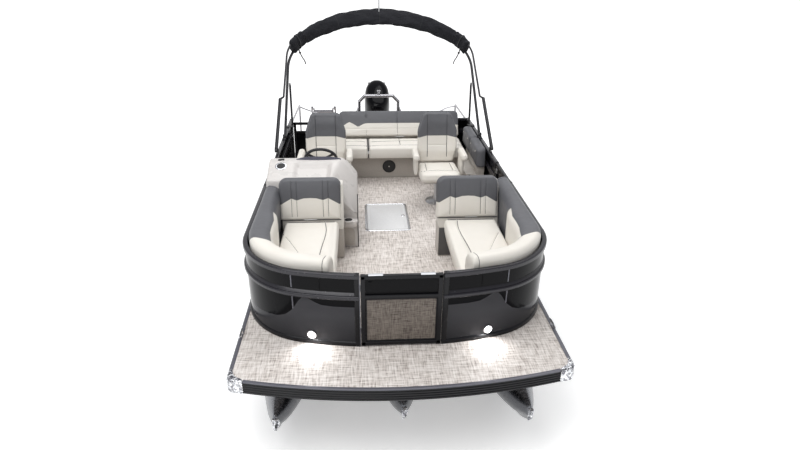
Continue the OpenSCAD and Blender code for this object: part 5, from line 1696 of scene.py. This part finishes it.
def bimini_boot():
    b = Build()
    count, around = 230, 64
    phases = rng.uniform(0, 2 * math.pi, 24)
    rings = []
    for i in range(count):
        t = -1 + 2 * i / (count - 1)
        a, c = bow_curve(*MAIN_BOW, t), bow_curve(*FRONT_BOW, t)
        a2, c2 = bow_curve(*MAIN_BOW, min(t + 0.01, 1)), bow_curve(*FRONT_BOW, min(t + 0.01, 1))
        a1, c1 = bow_curve(*MAIN_BOW, max(t - 0.01, -1)), bow_curve(*FRONT_BOW, max(t - 0.01, -1))
        along = unit((a2 + c2) - (a1 + c1))
        middle = np.array((a + c) / 2)
        span = np.array(c - a)
        span -= np.dot(span, along) * along
        half = np.linalg.norm(span) / 2
        wide = unit(span)
        thick = np.cross(along, wide)
        end = 1 - abs(t)
        close = math.sqrt(max(0.0, 1 - (1 - min(end / 0.035, 1)) ** 2))
        fat = 0.050 - 0.006 * max(0.0, abs(t) - 0.62) / 0.38
        ring = []
        for j in range(around):
            q = 2 * math.pi * j / around
            cs, sn = math.cos(q), math.sin(q)
            reach = (half + 0.042) * math.copysign(abs(cs) ** 0.80, cs)
            depth = fat * math.copysign(abs(sn) ** 0.86, sn)
            sag = 1 + 0.03 * math.sin(9 * t + phases[0]) + 0.025 * math.sin(23 * t + phases[1])
            fold = 0.0035 * math.sin(31 * t + 2.2 * math.sin(3 * q + phases[2]) + phases[3]) \
                + 0.0030 * math.sin(57 * t - 1.5 * math.cos(2 * q + phases[4]) + 3 * q) \
                + 0.0022 * math.sin(5 * q + 14 * t + phases[5])
            scale = 0.45 + 0.55 * close
            ring.append(middle + wide * (reach * scale + fold * cs)
                        + thick * (depth * sag * scale + fold * sn))
        rings.append(ring)
    b.strip(rings, 0)
    # Zip welt along the lower forward side, and seams across
    rings = np.array(rings)
    b.tube([rings[i][40] for i in range(4, count - 4)], 0.0035, 1, 6)
    for i in (34, 72, 115, 158, 196):
        b.tube([rings[i][j % around] for j in range(around + 2)], 0.0022, 1, 6, False)
    # Straps round the boot near its ends, with tails that hang down
    for i, side in ((20, -1), (count - 21, 1)):
        middle = rings[i].mean(axis=0)
        loop = [middle + (rings[i][j % around] - middle) * 1.02 for j in range(around + 2)]
        b.tube(loop, 0.012, 1, 8, False, (1.0, 0.22))
        foot = middle + np.array((0.0, 0.0, -0.05))
        tail = smooth_curve([foot + (-side * x, y, z) for x, y,
                             z in ((0.0, 0.0, 0.0), (0.012, -0.012, -0.07), (0.040, -0.015, -0.14),
                                   (0.075, -0.010, -0.20), (0.088, -0.006, -0.245))], 6)
        b.tube(tail, 0.011, 1, 8, True, (1.0, 0.7))
        b.block(tail[8] - (0.015, 0.004, 0.012), tail[8] + (0.015, 0.006, 0.012), 0.003, 1)
    b.make("boot_cover", ["boot", "strap"], "boot_fabric", "bimini", "bimini_boot", 60)


def bimini_tubes():
    """Bows with their hubs, tube by tube, in place of the plain ones."""
    b = Build()
    y, slope, half, leg = MAIN_BOW[:4]
    for s in (-1, 1):
        path = [bow_point(y, slope, s * half, v) for v in (0.022, 0.30, 0.60, 0.85, leg)]
        path += [bow_point(y, slope, s * (half - SHOULDER + SHOULDER * math.cos(a)),
                           leg + SHOULDER * math.sin(a))
                 for a in np.radians(np.linspace(2, 48, 24))]
        b.tube(path, 0.0175, 0, 20)
        hub = bow_point(y, slope, s * half - 0.0155, 0)
        b.lathe([(0.0085, 0.0), (0.021, 0.0), (0.024, 0.003), (0.024, 0.028), (0.021, 0.031),
                 (0.0085, 0.031)], hub, X_AXIS, 1, 32)
        b.tube([bow_point(y, slope, s * half, v) for v in (0.018, 0.026, 0.075, 0.080)],
               [0.0155, 0.0165, 0.0165, 0.0150], 1, 20)
        # Strut clamp with its pin
        b.tube([bow_point(y, slope, s * half, v) for v in (0.775, 0.779, 0.821, 0.825)],
               [0.0148, 0.0165, 0.0165, 0.0148], 1, 20)
        b.tube([bow_point(y, slope, s * x, 0.80) for x in (1.193, half)], 0.006, 2, 14)
        b.lathe([(0.0, 0.006), (0.006, 0.005), (0.009, 0.0)],
                bow_point(y, slope, s * (half + 0.0150), 0.80), (s, 0, 0), 2, 16)
    y, slope, half, leg = FRONT_BOW[:4]
    for s in (-1, 1):
        path = [bow_point(y, slope, s * half, v) for v in (0.861, 1.0, 1.2, 1.4, leg)]
        path += [bow_point(y, slope, s * (half - SHOULDER + SHOULDER * math.cos(a)),
                           leg + SHOULDER * math.sin(a))
                 for a in np.radians(np.linspace(2, 44, 22))]
        b.tube(path, 0.0130, 0, 20)
    b.make("bow_tubes", ["bow_tube", "plastic", "polished"], "bow_tube", "bimini", "bimini_bows",
           50)

    f = Build()
    y, slope = FRONT_BOW[:2]
    for s in (-1, 1):
        path = [(0.016, 0.0205), (0.30, 0.0210), (0.60, 0.0210), (0.790, 0.0210), (0.792, 0.0215),
                (0.818, 0.0215), (0.822, 0.0190)]
        b_path = [bow_point(y, slope, s * 1.278, v) for v, r in path]
        f.tube(b_path, [r for v, r in path], 0, 24)
        hub = bow_point(y, slope, s * 1.278 - 0.016, 0)
        f.lathe([(0.0075, 0.0), (0.020, 0.0), (0.022, 0.003), (0.022, 0.029), (0.020, 0.032),
                 (0.0075, 0.032)], hub, X_AXIS, 1, 32)
        bend = smooth_curve([bow_point(y, slope, s * x, v) for x,
                             v in ((1.275, 0.815), (1.268, 0.829), (1.256, 0.838), (1.244, 0.846),
                                   (1.239, 0.857))], 5)
        f.tube(bend, 0.0120, 0, 16)
    f.make("front_leg_tubes", ["bow_tube", "plastic"], "bow_tube", "bimini_front_legs",
           "bimini_front_legs", 50)


def anchor_lamp():
    b = Build()
    p = at(0, 5.390, 1.960)
    b.lathe([(0.0, 0.0), (0.0085, 0.0), (0.009, 0.01), (0.009, 0.31), (0.014, 0.315),
             (0.020, 0.322), (0.020, 0.330), (0.0, 0.330)], p, Z_AXIS, 0, 28)
    b.lathe([(0.021, 0.3305), (0.024, 0.338), (0.0235, 0.355), (0.018, 0.365), (0.008, 0.3695),
             (0.0, 0.370)], p, Z_AXIS, 1, 32)
    b.make("anchor_lamp_pole", ["satin", "lens_dim"], "lamp_white", "bimini", "anchor_light", 45)


# ---------------------------------------------------------------- stern

def stern_steel():
    """Thin drooping rails between the stern posts and the tow hoop."""
    b = Build()
    port = [(1.250, 5.960, 0.560), (1.10, 5.93, 0.535), (0.90, 5.86, 0.46), (0.66, 5.76, 0.41),
            (0.45, 5.68, 0.42), (0.318, 5.650, 0.44)]
    star = [(-1.250, 5.960, 0.560), (-1.12, 5.86, 0.535), (-0.95, 5.79, 0.50), (-0.70, 5.76, 0.46),
            (-0.48, 5.69, 0.44), (-0.318, 5.650, 0.44)]
    for path in (port, star):
        b.tube(smooth_curve([at(*p) for p in path], 8), 0.0105, 0, 12)
    for s in (-1, 1):
        p = at(s * 0.30, 5.65, 0.44)
        b.tube([(p.x, p.y, p.z - 0.016), (p.x, p.y, p.z + 0.016)], 0.029, 0, 24)
    b.make("stern_lines", ["steel"], "stainless", "hull", None, 50)


OUT_Y, OUT_Z, OUT_TILT = 6.470, 0.725, math.radians(32)


def out_at(x, y, z):
    """Outboard frame (tilted as parked) to the CAD frame."""
    c, s = math.cos(OUT_TILT), math.sin(OUT_TILT)
    return (x, OUT_Y + BOW_Y + y * c - z * s, OUT_Z + y * s + z * c)


def slices(b, levels, power=2.8, around=72, taper=0.22):
    """Horizontal slices (z, y0, y1, half width) of the outboard, skinned with soft corners."""
    rings = []
    for z, y0, y1, w in levels:
        mid, half = (y0 + y1) / 2, (y1 - y0) / 2
        ring = []
        for q in turns(around):
            cs, sn = math.cos(q), math.sin(q)
            y = mid + half * math.copysign(abs(sn) ** (2 / power), sn)
            narrow = 1 - taper * abs((y - mid) / max(half, 1e-6)) ** 3
            x = w * narrow * math.copysign(abs(cs) ** (2 / power), cs)
            ring.append(out_at(x, y, z))
        rings.append(ring)
    b.strip(rings)


def outboard():
    cowl = Build()
    levels = [(0.150, 0.004, 0.640, 0.200), (0.156, 0.000, 0.646, 0.205),
              (0.20, -0.003, 0.660, 0.210), (0.27, -0.004, 0.675, 0.213),
              (0.330, -0.004, 0.686, 0.2145)]
    groove = [(0.336, 0.000, 0.682, 0.211), (0.342, -0.002, 0.685, 0.2135)]
    upper = [(0.350, -0.003, 0.688, 0.2145), (0.40, -0.003, 0.692, 0.2148),
             (0.44, -0.002, 0.695, 0.2140), (0.49, 0.000, 0.697, 0.211),
             (0.54, 0.004, 0.697, 0.206), (0.585, 0.010, 0.692, 0.198),
             (0.615, 0.020, 0.680, 0.188), (0.642, 0.042, 0.655, 0.172),
             (0.663, 0.076, 0.615, 0.148), (0.679, 0.126, 0.560, 0.118),
             (0.689, 0.182, 0.500, 0.086), (0.695, 0.242, 0.440, 0.052), (0.697, 0.31, 0.38, 0.015)]
    slices(cowl, levels + groove + upper)
    for k in range(5):
        z = 0.500 + 0.018 * k
        for s in (-1, 1):
            pts = [out_at(s * (0.150 - 0.0015 * k), 0.655 - 0.004 * k + dy, z + dz) for dy,
                   dz in ((0.0, -0.004), (0.030, -0.004), (0.030, 0.004), (0.0, 0.004))]
            pts2 = [out_at(s * 0.060, 0.667 - 0.004 * k + dy, z + dz) for dy,
                    dz in ((0.0, -0.004), (0.028, -0.004), (0.028, 0.004), (0.0, 0.004))]
            cowl.strip([pts, pts2], 1)
    cowl.make("motor_cowl", ["cowl", "plastic"], "motor_gloss", "motor", "outboard_cowl", 35)

    leg = Build()
    slices(leg, [(0.030, 0.100, 0.330, 0.060), (0.062, 0.080, 0.520, 0.110),
                 (0.080, 0.050, 0.560, 0.160), (0.110, 0.010, 0.600, 0.192),
                 (0.140, -0.001, 0.632, 0.203), (0.1495, 0.000, 0.640, 0.203)])
    slices(leg, [(0.045, 0.128, 0.292, 0.056), (-0.05, 0.126, 0.291, 0.054),
                 (-0.20, 0.125, 0.289, 0.053), (-0.30, 0.124, 0.288, 0.052),
                 (-0.45, 0.128, 0.272, 0.048), (-0.568, 0.132, 0.262, 0.044)], 2.4, 56, 0.35)
    plate = rounded([(-0.03, 0.062), (0.03, 0.062), (0.106, 0.20), (0.108, 0.36), (0.06, 0.389),
                     (-0.06, 0.389), (-0.108, 0.36), (-0.106, 0.20)],
                    [0.02, 0.02, 0.1, 0.03, 0.02, 0.02, 0.03, 0.1], 6)
    leg.strip([[out_at(x * k, 0.22 + (y - 0.22) * k, z) for x, y in plate] for k,
               z in ((0.975, -0.572), (1.0, -0.570), (1.0, -0.5655), (0.975, -0.564))], 0)
    slices(leg, [(-0.566, 0.125, 0.285, 0.026), (-0.62, 0.122, 0.286, 0.022),
                 (-0.70, 0.118, 0.292, 0.020), (-0.78, 0.112, 0.300, 0.026)], 2.0, 40, 0.6)
    shaft = out_at(0, 0, -0.780)
    axis = np.array(out_at(0, 1, -0.780)) - np.array(shaft)
    leg.lathe([(0.0, 0.043), (0.016, 0.047), (0.030, 0.060), (0.042, 0.082), (0.0495, 0.11),
               (0.052, 0.15), (0.052, 0.27), (0.049, 0.31), (0.043, 0.335), (0.0, 0.336)], shaft,
              axis, 0, 48)
    leg.lathe([(0.012, 0.33), (0.012, 0.437)], shaft, axis, 1, 24)
    leg.lathe([(0.019, 0.437), (0.019, 0.451), (0.0, 0.452)], shaft, axis, 1, 6)
    skeg = [(0.150, -0.800), (0.300, -0.800), (0.322, -0.945), (0.312, -0.954), (0.270, -0.954),
            (0.255, -0.945)]
    leg.strip([[out_at(x, 0.24 + (y - 0.24) * k, z) for y, z in skeg] for x,
               k in ((-0.0055, 0.86), (-0.0035, 0.97), (0.0, 1.0), (0.0035, 0.97), (0.0055, 0.86))],
              0)
    for z0, z1, y0, y1, w in ((0.026, 0.062, 0.048, 0.290, 0.066),
                              (-0.376, -0.346, 0.042, 0.200, 0.050)):
        ring = rounded(rect(-w, y0, w, y1), 0.03, 5)
        leg.strip([[out_at(x * k, 0.15 + (y - 0.15) * k, z) for x, y in ring] for k,
                   z in ((0.96, z0), (1.0, z0 + 0.005), (1.0, z1 - 0.005), (0.96, z1))], 0)
    for z0, z1 in ((-0.024, 0.036), (-0.350, -0.300)):
        p = out_at(0, 0.075, 0)
        up = np.array(out_at(0, 0.075, 1)) - np.array(p)
        leg.lathe([(0.0158, z0), (0.0158, z1)], p, up, 1, 24)
    leg.make("motor_leg", ["motor", "satin"], "motor_black", "motor", "outboard_leg", 38)

    prop = Build()
    prop.lathe([(0.0125, 0.342), (0.040, 0.342), (0.044, 0.350), (0.0435, 0.40), (0.041, 0.430),
                (0.0125, 0.430)], shaft, axis, 0, 40)
    centre = np.array(out_at(0, 0.386, -0.780))
    axis = unit(axis)
    u = np.array((1.0, 0, 0))
    w = np.cross(axis, u)
    for k in range(3):
        turn = 2 * math.pi * k / 3
        rows = []
        for t in np.linspace(0, 1, 16):
            r = 0.040 + 0.125 * t
            chord = 0.054 + 0.075 * math.sin(math.pi * min(t * 0.86 + 0.06, 1)) ** 0.8
            if t > 0.8:
                chord *= math.sqrt(max(0.02, 1 - ((t - 0.8) / 0.205) ** 2))
            pitch = math.radians(24 - 8 * t)
            thick = 0.0055 * (1 - 0.7 * t)
            ring = []
            for q in turns(20):
                c, h = 0.5 * chord * math.cos(q), thick * math.sin(q)
                along = c * math.sin(pitch) + h * math.cos(pitch)
                across = (c * math.cos(pitch) - h * math.sin(pitch)) / r + 0.12 * t
                a = turn + across
                ring.append(centre + axis * along * 0.9 + r * (math.cos(a) * u + math.sin(a) * w))
            rows.append(ring)
        prop.strip(rows, 0)
    prop.make("motor_propeller", ["motor"], "prop_metal", "propeller", "propeller", 40)


def kept_parts():
    """Nodes whose own meshes are shown, with their materials."""
    # The hatch frame's pale paint is a painted reflection of its polished edges
    for node, mat in (("deck", "floor"), ("cross_members", "satin"), ("hatch_frame", "frame_painted_reflection"),
                      ("bimini_mounts", "plastic"), ("bimini_struts", "bow_tube"),
                      ("tow_bar", "steel"), ("stern_rails", "steel"), ("ladder_brackets", "satin"),
                      ("ladder_upper", "steel"), ("ladder_lower", "steel"), ("transom_pod", "tube"),
                      ("outboard_clamp", "motor"), ("outboard_swivel", "motor"),
                      ("outboard_powerhead", "iron")):
        repaint(node, mat)


# ---------------------------------------------------------------- the whole boat

MAT = build_materials()
camera()
floor_and_light()
make_pontoon("pontoon_starboard", -0.960, 0.08, "starboard_pontoon")
make_pontoon("pontoon_center", 0.0, 0.15, "center_pontoon")
make_pontoon("pontoon_port", 0.960, 0.08, "port_pontoon")
make_deck_trim()
make_castings()
make_hatch()
for side in (-1, 1):
    bow_fence(side)
    side_fence(side)
    lounge(side)
    captains_chair(side)
stern_fence()
bow_gate()
side_gate()
stern_gate()
docking_lights()
helm_console()
windscreen()
steering_wheel()
pedestals()
stern_bench()
bimini_boot()
bimini_tubes()
anchor_lamp()
stern_steel()
outboard()
kept_parts()
